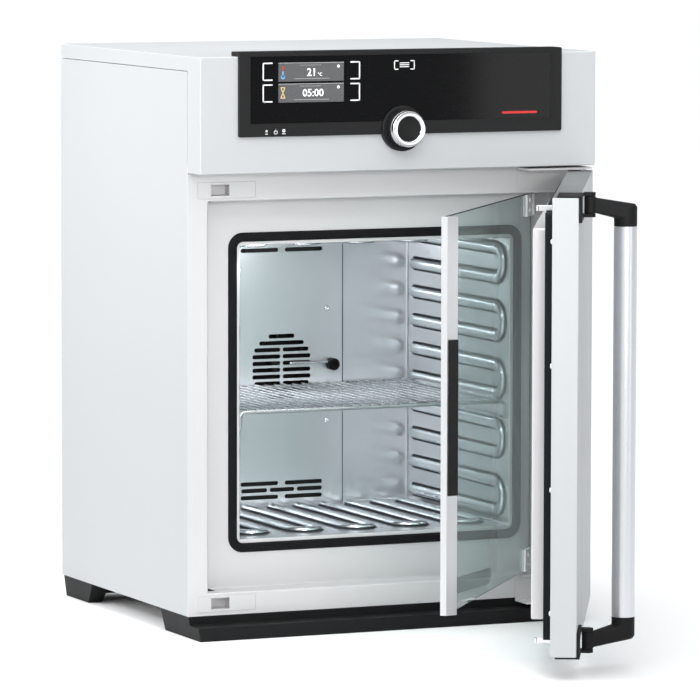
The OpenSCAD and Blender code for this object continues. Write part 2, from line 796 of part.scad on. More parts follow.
module door_seal() {
    half_h = (door_top - door_bottom) / 2 - seal_inset;
    color(black) on_door() difference() {
        plate_y(shell_back, seal_back) translate([0, door_mid_z]) difference() {
            polygon([[-seal_x, -half_h + seal_chamfer], [-seal_x + seal_chamfer, -half_h],
                     [seal_x - seal_chamfer, -half_h], [seal_x, -half_h + seal_chamfer],
                     [seal_x, half_h - seal_chamfer], [seal_x - seal_chamfer, half_h],
                     [-seal_x + seal_chamfer, half_h], [-seal_x, half_h - seal_chamfer]]);
            translate([-plug_x - 0.2, plug_z0 - door_mid_z - 0.2])
                square([2 * plug_x + 0.4, plug_z1 - plug_z0 + 0.4]);
        }
        for (z = keeper_zs) slab(-seal_x - 1, hook_x1 + 1.5, shell_back - 1, 1, z - hook_h / 2 - 1,
             z + hook_h / 2 + 1);
    }
}
screw_pitch = 159;
module door_screws() {
    color("white") on_door() for (s = [-1, 1], i = [-1.5:1.5])
        rod_y(s * (door_x - 6), door_mid_z + i * screw_pitch, 3, shell_back, shell_back + 2);
}
knuckle_r = 7.4;
knuckle_h = 4.5;
knuckle_rise = 3;
bracket_w = 26;
bracket_t = 4;
bracket_drop = 32;
cap_t = 2;
handle_pin_r = 3;
// Corner plate and cap on the door, with two strips that carry the knuckles of the handle's hinge
module bracket() {
    plate_front = shell_front - bracket_t;
    plate_top = door_top + cap_t;
    z1 = door_top + knuckle_rise;
    z0 = door_top - bracket_drop;
    strip_x1 = -pivot_x + knuckle_r;
    slab(-door_x, -door_x + bracket_w, plate_front, shell_front, z0, plate_top);
    slab(-door_x, strip_x1, shell_front, shell_back - 6, door_top, plate_top);
    slab(-door_x, strip_x1, plate_front, shell_front, z1 - knuckle_h, plate_top);
    slab(-door_x, strip_x1, plate_front, shell_front, z0, z0 + 3 + knuckle_h);
    for (z = [z0 + 3, z1 - knuckle_h]) {
        rod_z(-pivot_x, -pivot_y, knuckle_r, z, z + knuckle_h);
        slab(-pivot_x - knuckle_r, -pivot_x + knuckle_r, -pivot_y, plate_front, z, z + knuckle_h);
    }
    rod_z(-pivot_x, -pivot_y, handle_pin_r, z0 + 3, z1);
}
// The part for the top edge, and its mirror image for the bottom edge
module top_and_bottom() {
    children();
    translate([0, 0, 2 * door_mid_z]) mirror([0, 0, 1]) children();
}
module handle_brackets() {
    color(black) on_door() top_and_bottom() bracket();
}
tube_x = -pivot_x + handle_dx;
tube_y = -pivot_y - handle_dy;
tube_r = handle_dia / 2;
tube_top = 578.4;
arm_z0 = door_top - bracket_drop + 3 + knuckle_h + 0.4;
arm_z1 = door_top + knuckle_rise - knuckle_h - 0.4;
arm_inset = 2.3;
elbow_top = 607;
elbow_low = 589;
module handle_arm() {
    difference() {
        union() {
            rod_z(-pivot_x, -pivot_y, knuckle_r, arm_z0, arm_z1);
            hull() {
                rod_z(-pivot_x + 1.5, -pivot_y - 3, 5.5, arm_z0 + arm_inset, arm_z1 - arm_inset, $fn = 32);
                rod_z(tube_x, tube_y, tube_r - 3, elbow_low, elbow_top, $fn = 32);
                rod_z(tube_x, tube_y, tube_r, elbow_low, elbow_top - 4, $fn = 32);
            }
            rod_z(tube_x, tube_y, tube_r, tube_top, elbow_low + 1);
            rod_z(tube_x, tube_y, tube_r - 2.1, tube_top - 15, tube_top + 1);
        }
        rod_z(-pivot_x, -pivot_y, knuckle_r + 0.4, tube_top, arm_z0);
        rod_z(-pivot_x, -pivot_y, handle_pin_r + running_gap, arm_z0 - 1, arm_z1 + 1);
    }
}
module handle_arm_top() {
    color(black) on_door() handle_arm();
}
module handle_arm_bottom() {
    color(black) on_door() translate([0, 0, 2 * door_mid_z]) mirror([0, 0, 1]) handle_arm();
}
module handle_tube() {
    color([0.82, 0.82, 0.85]) on_door() difference() {
        rod_z(tube_x, tube_y, tube_r, 2 * door_mid_z - tube_top, tube_top);
        rod_z(tube_x, tube_y, tube_r - 2, 2 * door_mid_z - tube_top - 1, tube_top + 1);
    }
}
// Flat hooks on one bar that slides inside the door
module latch_hooks() {
    bar_y0 = shell_back - 8;
    color(steel) on_door() {
        slab(hook_x0, hook_x1, bar_y0, bar_y0 + 2, keeper_zs[0] - hook_h / 2, keeper_zs[1] + hook_h / 2);
        for (z = keeper_zs) {
            slab(hook_x0, hook_x1, bar_y0 + 2, hook_tip_y, z - hook_h / 2, z + hook_h / 2);
            slab(hook_x0 - hook_lip, hook_x0, hook_tip_y - 3, hook_tip_y, z - hook_h / 2, z + hook_h / 2);
        }
    }
}

/* ---------- glass door, drawn closed and then opened ---------- */
glass_x1 = glass_axis_x + 4;
glass_x0 = glass_x1 - glass_w;
glass_y0 = glass_axis_y + 1.3;
glass_y1 = glass_y0 + glass_t;
clamp_h = 30;
clamp_w = 36;
knuckle_clear_x = glass_axis_x - 7;
module glass_pane() {
    color([0.7, 0.85, 0.8, 0.4]) on_glass() difference() {
        slab(glass_x0 + 5, glass_x1, glass_y0, glass_y1, glass_bottom, glass_top);
        for (z = [glass_bottom - 1, glass_top - clamp_h])
            slab(knuckle_clear_x, glass_x1 + 1, glass_y0 - 1, glass_y1 + 1, z, z + clamp_h + 1);
    }
}
channel_y0 = glass_y0 - 1.7;
channel_y1 = glass_y1 + 1.7;
flange_dx = 11;
flange_dy = 11.2;
module glass_profile() {
    color([0.88, 0.88, 0.9]) on_glass() translate([0, 0, glass_bottom])
        linear_extrude(glass_top - glass_bottom) {
        difference() {
            translate([glass_x0, channel_y0]) square([13, channel_y1 - channel_y0]);
            translate([glass_x0 + 5, glass_y0]) square([20, glass_t]);
        }
        polygon([[glass_x0 + 0.3, channel_y0 + 0.2], [glass_x0 + 0.3 + flange_dx, channel_y0 - flange_dy],
                 [glass_x0 + 2.2 + flange_dx, channel_y0 - flange_dy + 0.6],
                 [glass_x0 + 3.4, channel_y0 + 0.2]]);
    }
}
grip_z0 = 222;
grip_z1 = 426;
grip_t = 1.6;
module glass_grip() {
    color(black) on_glass() translate([0, 0, grip_z0]) linear_extrude(grip_z1 - grip_z0)
        translate([glass_x0 + 0.3, channel_y0 - 0.2]) rotate(-atan2(flange_dy, flange_dx))
            translate([1.2, -grip_t]) square([norm([flange_dx, flange_dy]) - 1.2, grip_t]);
}
module glass_clamp() {
    difference() {
        union() {
            slab(glass_x1 - clamp_w, glass_axis_x - 4.2, glass_y0 - 3, glass_y0, glass_top - clamp_h,
                 glass_top);
            slab(glass_x1 - clamp_w, glass_axis_x - 4.2, glass_y1, glass_y1 + 2, glass_top - clamp_h,
                 glass_top);
            rod_z(glass_axis_x, glass_axis_y, 5, glass_top - clamp_h + 0.4, glass_top);
            slab(glass_axis_x - 7, glass_axis_x - 3, glass_y0 - 3, glass_y1 + 2,
                 glass_top - clamp_h + 0.4, glass_top);
        }
        rod_z(glass_axis_x, glass_axis_y, 2.5 + running_gap, glass_top - clamp_h, glass_top + 1);
    }
    for (z = [8, 22]) rod_y(glass_x1 - 24, glass_top - z, 2.8, glass_y0 - 4.6, glass_y0 - 3);
}
module glass_clamps() {
    color([0.92, 0.92, 0.93]) on_glass() {
        glass_clamp();
        translate([0, 0, glass_top + glass_bottom]) mirror([0, 0, 1]) glass_clamp();
    }
}

side_panel_left();
side_panel_right();
top_cover();
rear_panel();
base_plate();
front_frame();
header_panel();
control_frame();
display_glass();
display_windows();
knob_seat();
encoder();
control_board();
power_supply();
chamber_liner();
chamber_ribs();
rear_baffle();
baffle_screws();
temperature_sensor();
sensor_grommet();
opening_gasket();
insulation();
fan_motor();
cold_plate();
peltier_module();
heat_sink();
rear_fan_frame();
rear_fan_cover();
mains_inlet();
wire_shelf();
front_plinth();
rear_feet();
rear_crossbar();
latch_keepers();
door_hinge_brackets();
glass_hinge_pins();
recess_catches();
knob_shaft();
knob_body();
knob_ring();
knob_cap();
power_key();
fan_wheel();
fan_shaft();
rear_fan_rotor();
door_shell();
door_insulation();
door_inner_panel();
door_seal();
door_screws();
door_hinge_bushes();
handle_brackets();
handle_arm_top();
handle_arm_bottom();
handle_tube();
latch_hooks();
glass_pane();
glass_profile();
glass_grip();
glass_clamps();
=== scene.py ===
"""Looks of the laboratory incubator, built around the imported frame. All helper sizes are in millimetres."""

import json
from math import atan2, ceil, cos, degrees, hypot, pi, radians, sin, sqrt, tan

import bmesh
import bpy
from mathutils import Matrix, Vector


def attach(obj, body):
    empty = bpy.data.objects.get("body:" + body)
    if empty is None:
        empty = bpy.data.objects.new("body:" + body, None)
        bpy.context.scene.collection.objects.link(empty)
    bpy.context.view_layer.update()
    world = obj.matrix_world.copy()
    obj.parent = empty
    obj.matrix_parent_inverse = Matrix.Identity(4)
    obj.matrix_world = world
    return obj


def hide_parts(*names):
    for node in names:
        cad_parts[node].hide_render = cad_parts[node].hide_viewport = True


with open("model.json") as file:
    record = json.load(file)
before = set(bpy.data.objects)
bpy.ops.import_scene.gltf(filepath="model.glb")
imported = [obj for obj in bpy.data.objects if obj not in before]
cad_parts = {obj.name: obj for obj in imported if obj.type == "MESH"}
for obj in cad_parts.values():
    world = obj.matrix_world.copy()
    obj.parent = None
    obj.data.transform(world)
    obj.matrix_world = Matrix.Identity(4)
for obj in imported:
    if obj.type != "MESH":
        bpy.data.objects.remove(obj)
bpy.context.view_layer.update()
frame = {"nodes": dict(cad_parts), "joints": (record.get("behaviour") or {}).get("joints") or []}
MM = 0.001
NODES = frame["nodes"]
JOINTS = {joint["name"]: joint for joint in frame["joints"]}


# ---- places, read from the frame
class Box:
    """The box of one or more CAD nodes in millimetres; given a door as place, in its closed position."""

    def __init__(self, *names, place=Matrix.Identity(4)):
        back = place.inverted()
        points = [back @ vertex.co for name in names for vertex in NODES[name].data.vertices]
        low = [min(point[i] for point in points) / MM for i in range(3)]
        high = [max(point[i] for point in points) / MM for i in range(3)]
        self.x0, self.y0, self.z0 = low
        self.x1, self.y1, self.z1 = high
        self.x, self.y, self.z = ((a + b) / 2 for a, b in zip(low, high))
        self.front = (self.x0, self.x1, self.z0, self.z1)


def opening(joint_name):
    """The turn that takes a closed door to its open rest position, which is its joint's value 0."""
    joint = JOINTS[joint_name]
    hinge = Vector(joint["pos_m"])
    turn = Matrix.Rotation(radians(-joint["range_deg"][0]), 4, "Z")
    return Matrix.Translation(hinge) @ turn @ Matrix.Translation(-hinge)


DOOR = opening("outer_door_hinge")
GLASS = opening("glass_door_hinge")
HERE = Matrix.Identity(4)
DOOR_HINGE = [value / MM for value in JOINTS["outer_door_hinge"]["pos_m"]]


# ---- materials
RANGE_ENDS = ("From Min", "From Max", "To Min", "To Max")


def socket_value(node, name, value):
    node.inputs[name].default_value = value


class Surface:
    """A principled material with helper nodes for grain, smudges, bump and worn edges."""

    def __init__(self, name, color, roughness, metallic=0.0):
        self.material = bpy.data.materials.new(name)
        self.material.use_nodes = True
        self.tree = self.material.node_tree
        self.shader = self.tree.nodes["Principled BSDF"]
        self.color = (*color, 1)
        socket_value(self.shader, "Metallic", metallic)
        socket_value(self.shader, "Base Color", self.color)
        socket_value(self.shader, "Roughness", roughness)
        self.coordinates = self.add("ShaderNodeTexCoord").outputs["Object"]
        self.bumps = None

    def add(self, kind):
        return self.tree.nodes.new(kind)

    def link(self, source, target):
        self.tree.links.new(source, target)

    def shine(self, level):
        socket_value(self.shader, "Specular IOR Level", level)

    def noise(self, scale, stretch=(1, 1, 1), detail=4, roughness=0.55):
        mapping = self.add("ShaderNodeMapping")
        socket_value(mapping, "Scale", stretch)
        self.link(self.coordinates, mapping.inputs["Vector"])
        noise = self.add("ShaderNodeTexNoise")
        socket_value(noise, "Scale", scale)
        socket_value(noise, "Detail", detail)
        socket_value(noise, "Roughness", roughness)
        self.link(mapping.outputs["Vector"], noise.inputs["Vector"])
        return noise.outputs["Fac"]

    def range(self, source, low, high, start=0.25, end=0.75):
        node = self.add("ShaderNodeMapRange")
        for name, value in zip(RANGE_ENDS, (start, end, low, high)):
            socket_value(node, name, value)
        self.link(source, node.inputs["Value"])
        return node.outputs["Result"]

    def mix(self, factor, first, second):
        node = self.add("ShaderNodeMix")
        node.data_type = "RGBA"
        colors = [s for s in node.inputs if s.type == "RGBA"]
        for socket, value in zip(colors, (first, second)):
            if isinstance(value, tuple):
                socket.default_value = value
            else:
                self.link(value, socket)
        self.link(factor, node.inputs["Factor"])
        return [s for s in node.outputs if s.type == "RGBA"][0]

    def tinted(self, color):
        self.base = color
        self.link(color, self.shader.inputs["Base Color"])
        return self

    def tone(self, factor, darker, lighter):
        """Colour variation between a darker and a lighter share of the base colour."""
        low = (*[c * darker for c in self.color[:3]], 1)
        high = (*[min(1.0, c * lighter) for c in self.color[:3]], 1)
        return self.tinted(self.mix(factor, low, high))

    def rough(self, factor, low, high):
        self.link(self.range(factor, low, high), self.shader.inputs["Roughness"])
        return self

    def bump(self, height, strength, distance=0.0002):
        node = self.add("ShaderNodeBump")
        socket_value(node, "Strength", strength)
        socket_value(node, "Distance", distance)
        self.link(height, node.inputs["Height"])
        if self.bumps is not None:
            self.link(self.bumps, node.inputs["Normal"])
        self.bumps = node.outputs["Normal"]
        self.link(self.bumps, self.shader.inputs["Normal"])
        return self

    def worn(self, color, amount):
        """Lighter paint or bare material along convex edges."""
        point = self.add("ShaderNodeNewGeometry").outputs["Pointiness"]
        edge = self.range(point, 0.0, amount, 0.52, 0.62)
        return self.tinted(self.mix(edge, self.base, (*color, 1)))


def brushed(name, color, roughness, stretch, grain=900, strength=0.12, variation=0.05, metallic=1.0):
    """Metal with long fine scratches; stretch is small along the scratches."""
    surface = Surface(name, color, roughness, metallic)
    lines = surface.noise(grain, stretch, detail=3)
    clouds = surface.noise(7, detail=3)
    surface.tone(clouds, 1 - variation, 1 + variation).rough(lines, roughness - 0.04, roughness + 0.04)
    return surface.bump(lines, strength, 0.00002).material


def satin_sheet(name, color, roughness, metallic):
    """Polished sheet: no lines, only faint waviness and wipe marks."""
    surface = Surface(name, color, roughness, metallic)
    wipes = surface.noise(14, (1, 1, 0.5), detail=5)
    surface.tone(surface.noise(3, detail=2), 0.985, 1.01).rough(wipes, roughness - 0.03, roughness + 0.04)
    return surface.bump(surface.noise(22, detail=1), 0.04, 0.0002).material


def moulded(name, color, roughness, grain=1400, strength=0.25, worn=0.35, shine=0.5):
    """Plastic or powder coat with a fine leather-like grain."""
    surface = Surface(name, color, roughness)
    surface.shine(shine)
    fine = surface.noise(grain, detail=2)
    clouds = surface.noise(12, detail=4)
    scuffed = [min(1, c * 3 + 0.04) for c in color]
    surface.tone(clouds, 0.85, 1.15).worn(scuffed, worn).rough(clouds, roughness - 0.06, roughness + 0.06)
    return surface.bump(fine, strength, 0.0001).material


def casing_steel():
    """Structured stainless sheet: light, matt, with a faint pressed texture and soft clouding."""
    surface = Surface("casing_steel", (0.482, 0.494, 0.502), 0.5, metallic=0.1)
    surface.shine(0.3)
    pressed = surface.noise(650, (1, 1, 0.35), detail=2)
    clouds = surface.noise(3.2, detail=3)
    surface.tone(clouds, 0.975, 1.02).rough(clouds, 0.46, 0.54)
    return surface.bump(pressed, 0.08, 0.00004).material


def rubber():
    surface = Surface("black_rubber", (0.007, 0.007, 0.0075), 0.6)
    surface.shine(0.1)
    dust = surface.noise(60, detail=6)
    surface.tone(dust, 0.7, 1.5).rough(dust, 0.48, 0.66)
    return surface.bump(surface.noise(1800, detail=2), 0.3, 0.00008).material


def panel_gloss():
    """Black glass of the control panel, with faint wipe marks in its gloss."""
    surface = Surface("panel_gloss", (0.0022, 0.0022, 0.0026), 0.08)
    wipes = surface.noise(40, (1, 1, 6), detail=5)
    surface.tone(wipes, 0.8, 1.3).rough(wipes, 0.05, 0.065)
    surface.shine(0.09)
    return surface.material


def display_lcd():
    """Dark grey display with its pixel grid."""
    surface = Surface("display_lcd", (0.085, 0.085, 0.088), 0.25)
    pixels = surface.noise(2400, detail=0)
    return surface.tone(pixels, 0.85, 1.15).rough(pixels, 0.2, 0.3).material


def print_ink(name, color, glow=0.0):
    """Printed or lit marks: slightly uneven cover, with a soft glow: the display's own light for its figures
    and icons, painted light where it is given to printed marks.
    """
    surface = Surface(name, color, 0.45)
    cover = surface.noise(500, detail=3)
    surface.tone(cover, 0.88, 1.05).rough(cover, 0.38, 0.5)
    if glow:
        socket_value(surface.shader, "Emission Color", (*color, 1))
        socket_value(surface.shader, "Emission Strength", glow)
    return surface.material


def tinted_glass():
    """Toughened glass with a grey-green tint; lamps shine through it."""
    surface = Surface("tinted_glass", (0.69, 0.79, 0.775), 0.0)
    smears = surface.noise(9, detail=5)
    surface.tone(smears, 0.97, 1.02).rough(smears, 0.0, 0.015)
    socket_value(surface.shader, "Transmission Weight", 1.0)
    socket_value(surface.shader, "IOR", 1.38)
    clear = surface.add("ShaderNodeBsdfTransparent")
    socket_value(clear, "Color", (0.8, 0.88, 0.87, 1))
    rays = surface.add("ShaderNodeLightPath").outputs["Is Shadow Ray"]
    blend = surface.add("ShaderNodeMixShader")
    surface.link(rays, blend.inputs["Fac"])
    surface.link(surface.shader.outputs["BSDF"], blend.inputs[1])
    surface.link(clear.outputs["BSDF"], blend.inputs[2])
    out = surface.tree.nodes["Material Output"]
    surface.link(blend.outputs["Shader"], out.inputs["Surface"])
    return surface.material


def foam():
    surface = Surface("wool", (0.75, 0.68, 0.45), 0.95)
    fibres = surface.noise(300, (1, 4, 1), detail=6)
    surface.tone(fibres, 0.8, 1.1).rough(fibres, 0.9, 1.0)
    return surface.bump(fibres, 0.6, 0.001).material


def board():
    surface = Surface("board", (0.03, 0.2, 0.09), 0.4)
    tracks = surface.noise(180, (1, 1, 5), detail=1)
    return surface.tone(tracks, 0.7, 1.3).rough(tracks, 0.32, 0.5).material


ALONG_X = (0.04, 1, 1)
ALONG_Y = (1, 0.04, 1)
ALONG_Z = (1, 1, 0.04)
CASING = casing_steel()
FRAME = brushed("frame_steel", (0.645, 0.634, 0.638), 0.45, ALONG_X, 1600, 0.04, 0.015, 0.35)
CHAMBER = satin_sheet("chamber_steel", (0.735, 0.755, 0.785), 0.23, 0.7)
BARS = satin_sheet("bar_steel", (0.72, 0.75, 0.78), 0.2, 0.95)
BRIGHT = brushed("bright_steel", (0.80, 0.80, 0.81), 0.2, ALONG_X, 1600, 0.05, 0.03)
WIRE = brushed("shelf_wire", (0.50, 0.515, 0.53), 0.28, ALONG_Y, 1600, 0.05, 0.03)
LINER = brushed("door_liner_steel", (0.66, 0.648, 0.655), 0.42, ALONG_Z, 1600, 0.04, 0.015, 0.5)
ALUMINIUM = brushed("satin_aluminium", (0.70, 0.71, 0.73), 0.3, ALONG_Z, 1600, 0.06, 0.02)
PROFILE = brushed("profile_aluminium", (0.73, 0.735, 0.75), 0.42, ALONG_Z, 1600, 0.05, 0.02)
CAST = brushed("sink_aluminium", (0.72, 0.73, 0.75), 0.42, (1, 1, 1), 500, 0.1, 0.04)
BRASS = brushed("bush_brass", (0.72, 0.55, 0.26), 0.3, (1, 1, 1), 700, 0.06, 0.05)
KNOB = brushed("knob_metal", (0.86, 0.86, 0.87), 0.2, (1, 1, 1), 1200, 0.05, 0.02)
BLACK = moulded("black_plastic", (0.008, 0.008, 0.0085), 0.5, worn=0.2, shine=0.14)
SATIN = moulded("black_satin", (0.012, 0.012, 0.0125), 0.4, 1800, 0.12, 0.12, 0.16)
# Near-black flats along the chamber bars' feet: painted dark reflection and painted shade, not a real finish.
PAINTED_REFLECTION = moulded("bar_foot_painted_reflection", (0.035, 0.04, 0.045), 0.55, worn=0.0, shine=0.15)
# Black that stands for painted shade in the fan well, behind the baffle and on the cold plate; the fan wheel
# is black too.
SHADE = moulded("painted_shade_black", (0.006, 0.006, 0.006), 0.7, shine=0.1)
EDGE = moulded("glass_edge", (0.02, 0.035, 0.033), 0.15, worn=0.0)
WHITE = moulded("white_plastic", (0.8, 0.8, 0.8), 0.4, 1200, 0.15, 0.0)
GREY = moulded("supply_grey", (0.45, 0.46, 0.48), 0.45)
# Dark grey painted shade for the top face of the outer door.
DOOR_TOP_SHADE = moulded("door_top_painted_shade", (0.135, 0.142, 0.145), 0.45, worn=0.1)
CERAMIC = moulded("ceramic_white", (0.84, 0.84, 0.82), 0.5, 900, 0.2, 0.0)
RUBBER = rubber()
GLOSS = panel_gloss()
LCD = display_lcd()
# The white print's faint glow is painted light: printed marks give no light of their own.
WHITE_INK_PAINTED_GLOW = print_ink("white_ink_painted_glow", (0.82, 0.82, 0.82), 0.1)
GREY_INK = print_ink("grey_ink", (0.35, 0.35, 0.36))
# The red's faint glow is the display's own light on its warm icon, and painted light on the printed accent.
RED_INK = print_ink("red_ink", (0.55, 0.02, 0.02), 0.05)
DIGITS = print_ink("digits_lit", (0.85, 0.86, 0.86), 0.7)
AMBER = print_ink("icon_amber", (0.55, 0.42, 0.22), 0.3)
BLUE = print_ink("icon_blue", (0.12, 0.3, 0.55), 0.3)
TINTED = tinted_glass()
FOAM = foam()
BOARD = board()


# ---- outlines in two dimensions
def quarter(count):
    """Angles of a quarter turn, in radians, in equal steps."""
    return [radians(90 * i / count) for i in range(count + 1)]


def arc(cx, cy, r, start, end, steps):
    """Points on an arc between two angles in degrees."""
    angles = [radians(start + (end - start) * i / steps) for i in range(steps + 1)]
    return [(cx + r * cos(a), cy + r * sin(a)) for a in angles]


def rectangle(x0, x1, z0, z1, r=0.0, steps=6):
    """Rectangle with round corners, going round anticlockwise."""
    if r <= 0:
        return [(x0, z0), (x1, z0), (x1, z1), (x0, z1)]
    corners = [(x1 - r, z0 + r, -90), (x1 - r, z1 - r, 0), (x0 + r, z1 - r, 90), (x0 + r, z0 + r, 180)]
    return [point for cx, cz, a in corners for point in arc(cx, cz, r, a, a + 90, steps)]


def circle(x, z, r, steps=48):
    return arc(x, z, r, 0, 360 - 360 / steps, steps - 1)


def rounded_path(points, bend, steps=8):
    """A path in space with each inner corner replaced by an arc of radius bend."""
    path = [Vector(points[0])]
    for before, corner, after in zip(points, points[1:], points[2:]):
        corner = Vector(corner)
        back = (Vector(before) - corner).normalized()
        on = (Vector(after) - corner).normalized()
        half = back.angle(on) / 2
        reach = bend / tan(half)
        centre = corner + (back + on).normalized() * (bend / sin(half))
        first, last = corner + back * reach, corner + on * reach
        for i in range(steps + 1):
            spoke = (first - centre).lerp(last - centre, i / steps)
            path.append(centre + spoke.normalized() * bend)
    path.append(Vector(points[-1]))
    return path


# ---- solids, as bmesh in millimetres
def join(*parts):
    """One bmesh from several."""
    whole = bmesh.new()
    for part in parts:
        mesh = bpy.data.meshes.new("part")
        part.to_mesh(mesh)
        part.free()
        whole.from_mesh(mesh)
        bpy.data.meshes.remove(mesh)
    return whole


def moved(part, matrix):
    bmesh.ops.transform(part, matrix=matrix, verts=part.verts)
    if matrix.to_3x3().determinant() < 0:
        bmesh.ops.reverse_faces(part, faces=part.faces)
    return part


def shift(x=0.0, y=0.0, z=0.0):
    return Matrix.Translation((x, y, z))


def mirror_z(z):
    return shift(z=z) @ Matrix.Diagonal((1, 1, -1, 1)) @ shift(z=-z)


def both(part, matrix):
    """A part and its copy under a matrix."""
    return join(part, moved(part.copy(), matrix))


def edge_round(part, width, segments=2, angle=30):
    """Rounds every edge sharper than an angle."""
    edges = [e for e in part.edges if len(e.link_faces) == 2 and e.calc_face_angle(0) > radians(angle)]
    if width > 0 and edges:
        bmesh.ops.bevel(part, geom=edges, offset=width, segments=segments, profile=0.7,
                        affect="EDGES", clamp_overlap=True)
    return part


def from_curve(curve):
    """A bmesh made from a curve or text, which is then removed."""
    holder = bpy.data.objects.new("holder", curve)
    mesh = bpy.data.meshes.new_from_object(holder)
    part = bmesh.new()
    part.from_mesh(mesh)
    bpy.data.objects.remove(holder)
    bpy.data.curves.remove(curve)
    bpy.data.meshes.remove(mesh)
    return part


def cleaned(part, distance):
    """Near points merged, flat faces made whole, faces turned outwards."""
    bmesh.ops.remove_doubles(part, verts=part.verts, dist=distance)
    bmesh.ops.dissolve_limit(part, angle_limit=radians(0.5), verts=part.verts, edges=part.edges)
    bmesh.ops.recalc_face_normals(part, faces=part.faces)
    return part


def skinned(rings, loop=False, caps=False):
    """A bmesh over rings of points, open, closed to a loop or capped. A ring of one point is a pole."""
    part = bmesh.new()
    rows = [[part.verts.new(point) for point in ring] for ring in rings]
    pairs = list(zip(rows, rows[1:]))
    if loop:
        pairs.append((rows[-1], rows[0]))
    for low, high in pairs:
        count = max(len(low), len(high))
        for i in range(count):
            j = (i + 1) % count
            corners = [low[i % len(low)], low[j % len(low)], high[j % len(high)], high[i % len(high)]]
            unique = list(dict.fromkeys(corners))
            if len(unique) > 2:
                part.faces.new(unique)
    if caps:
        part.faces.new(rows[0])
        part.faces.new(rows[-1])
    bmesh.ops.recalc_face_normals(part, faces=part.faces)
    return part


def extruded(outline, holes, depth):
    """Flat shape with holes in X and Y, given a height from 0 to depth along Z."""
    curve = bpy.data.curves.new("outline", "CURVE")
    curve.dimensions = "2D"
    curve.fill_mode = "BOTH"
    curve.extrude = depth / 2
    for loop in [outline, *holes]:
        spline = curve.splines.new("POLY")
        spline.points.add(len(loop) - 1)
        for point, (x, y) in zip(spline.points, loop):
            point.co = (x, y, 0, 1)
        spline.use_cyclic_u = True
    return moved(cleaned(from_curve(curve), 0.001), shift(z=depth / 2))


XZ = Matrix(((1, 0, 0, 0), (0, 0, -1, 0), (0, 1, 0, 0), (0, 0, 0, 1)))
YZ = Matrix(((0, 0, 1, 0), (1, 0, 0, 0), (0, 1, 0, 0), (0, 0, 0, 1)))


def plate(outline, holes, y0, y1, width=0.0):
    """Flat shape drawn in X and Z, between two depths."""
    return moved(edge_round(extruded(outline, holes, y1 - y0), width), shift(y=y1) @ XZ)


def block(x0, x1, y0, y1, z0, z1, width=0.4, segments=2):
    part = bmesh.new()
    bmesh.ops.create_cube(part, size=1)
    size = Matrix.Diagonal((x1 - x0, y1 - y0, z1 - z0, 1))
    moved(part, shift((x0 + x1) / 2, (y0 + y1) / 2, (z0 + z1) / 2) @ size)
    return edge_round(part, width, segments)


def turned(profile, segments=64):
    """A profile of (radius, height) points turned about Z. A radius of 0 closes an end."""
    angles = [2 * pi * i / segments for i in range(segments)]
    return skinned([[(r * cos(a), r * sin(a), h) for a in angles] if r else [(0, 0, h)] for r, h in profile])


TO_Y = Matrix.Rotation(radians(-90), 4, "X")


def turned_y(profile, x, z, segments=64):
    """Turned about an axis along Y; the profile's heights are Y."""
    return moved(turned(profile, segments), shift(x=x, z=z) @ TO_Y)


def turned_z(profile, x, y, segments=64):
    return moved(turned(profile, segments), shift(x=x, y=y))


def fillet_rod(r, h0, h1, edge):
    """Profile of a rod with rounded rims."""
    outer = [(r - edge + edge * sin(a), h0 + edge - edge * cos(a)) for a in quarter(4)]
    outer += [(r - edge + edge * cos(a), h1 - edge + edge * sin(a)) for a in quarter(4)]
    return [(0, h0), *outer, (0, h1)]


def swept(path, r, sides=12, closed=False):
    """Round bar along a path, its ends closed by small domes."""
    path = [Vector(p) for p in path]
    count = len(path)
    tangents = []
    for i in range(count):
        before = path[i - 1] if (i or closed) else path[i]
        after = path[(i + 1) % count] if (i < count - 1 or closed) else path[i]
        tangents.append((after - before).normalized())
    side = tangents[0].orthogonal().normalized()
    stations = []
    for place, tangent in zip(path, tangents):
        side = (side - tangent * side.dot(tangent)).normalized()
        stations.append((place, tangent, side.copy(), r))
    if not closed:
        dome = [(0.0, 1.0), (0.5, 0.866), (0.866, 0.5), (1.0, 0.05)]
        head, tail = ([(place + tangent * (sign * r * (1 - out)), tangent, side, r * w) for out, w in dome]
                      for (place, tangent, side, _), sign in ((stations[0], 1), (stations[-1], -1)))
        stations = [*reversed(head), *stations[1:-1], *tail]
    rings = []
    for place, tangent, side, width in stations:
        up = tangent.cross(side)
        angles = [2 * pi * i / sides for i in range(sides)]
        rings.append([place + (side * cos(a) + up * sin(a)) * width for a in angles])
    return skinned(rings, closed, not closed)


def lofted(rings, loop=False):
    """Skin over rounded rectangles, capped or a loop. A ring is (x0, x1, z0, z1, corner radius, y)."""
    skins = [[(x, y, z) for x, z in rectangle(*box, max(r, 0.02), 8)] for *box, r, y in rings]
    return skinned(skins, loop, not loop)


def grown(box, amount, r, y):
    """Ring for lofted(): a box's outline grown by an amount, at a depth."""
    return (box[0] - amount, box[1] + amount, box[2] - amount, box[3] + amount, r, y)


# ---- putting pieces in the scene
def placed(name, data):
    """A new object in the scene."""
    thing = bpy.data.objects.new(name, data)
    bpy.context.scene.collection.objects.link(thing)
    return thing


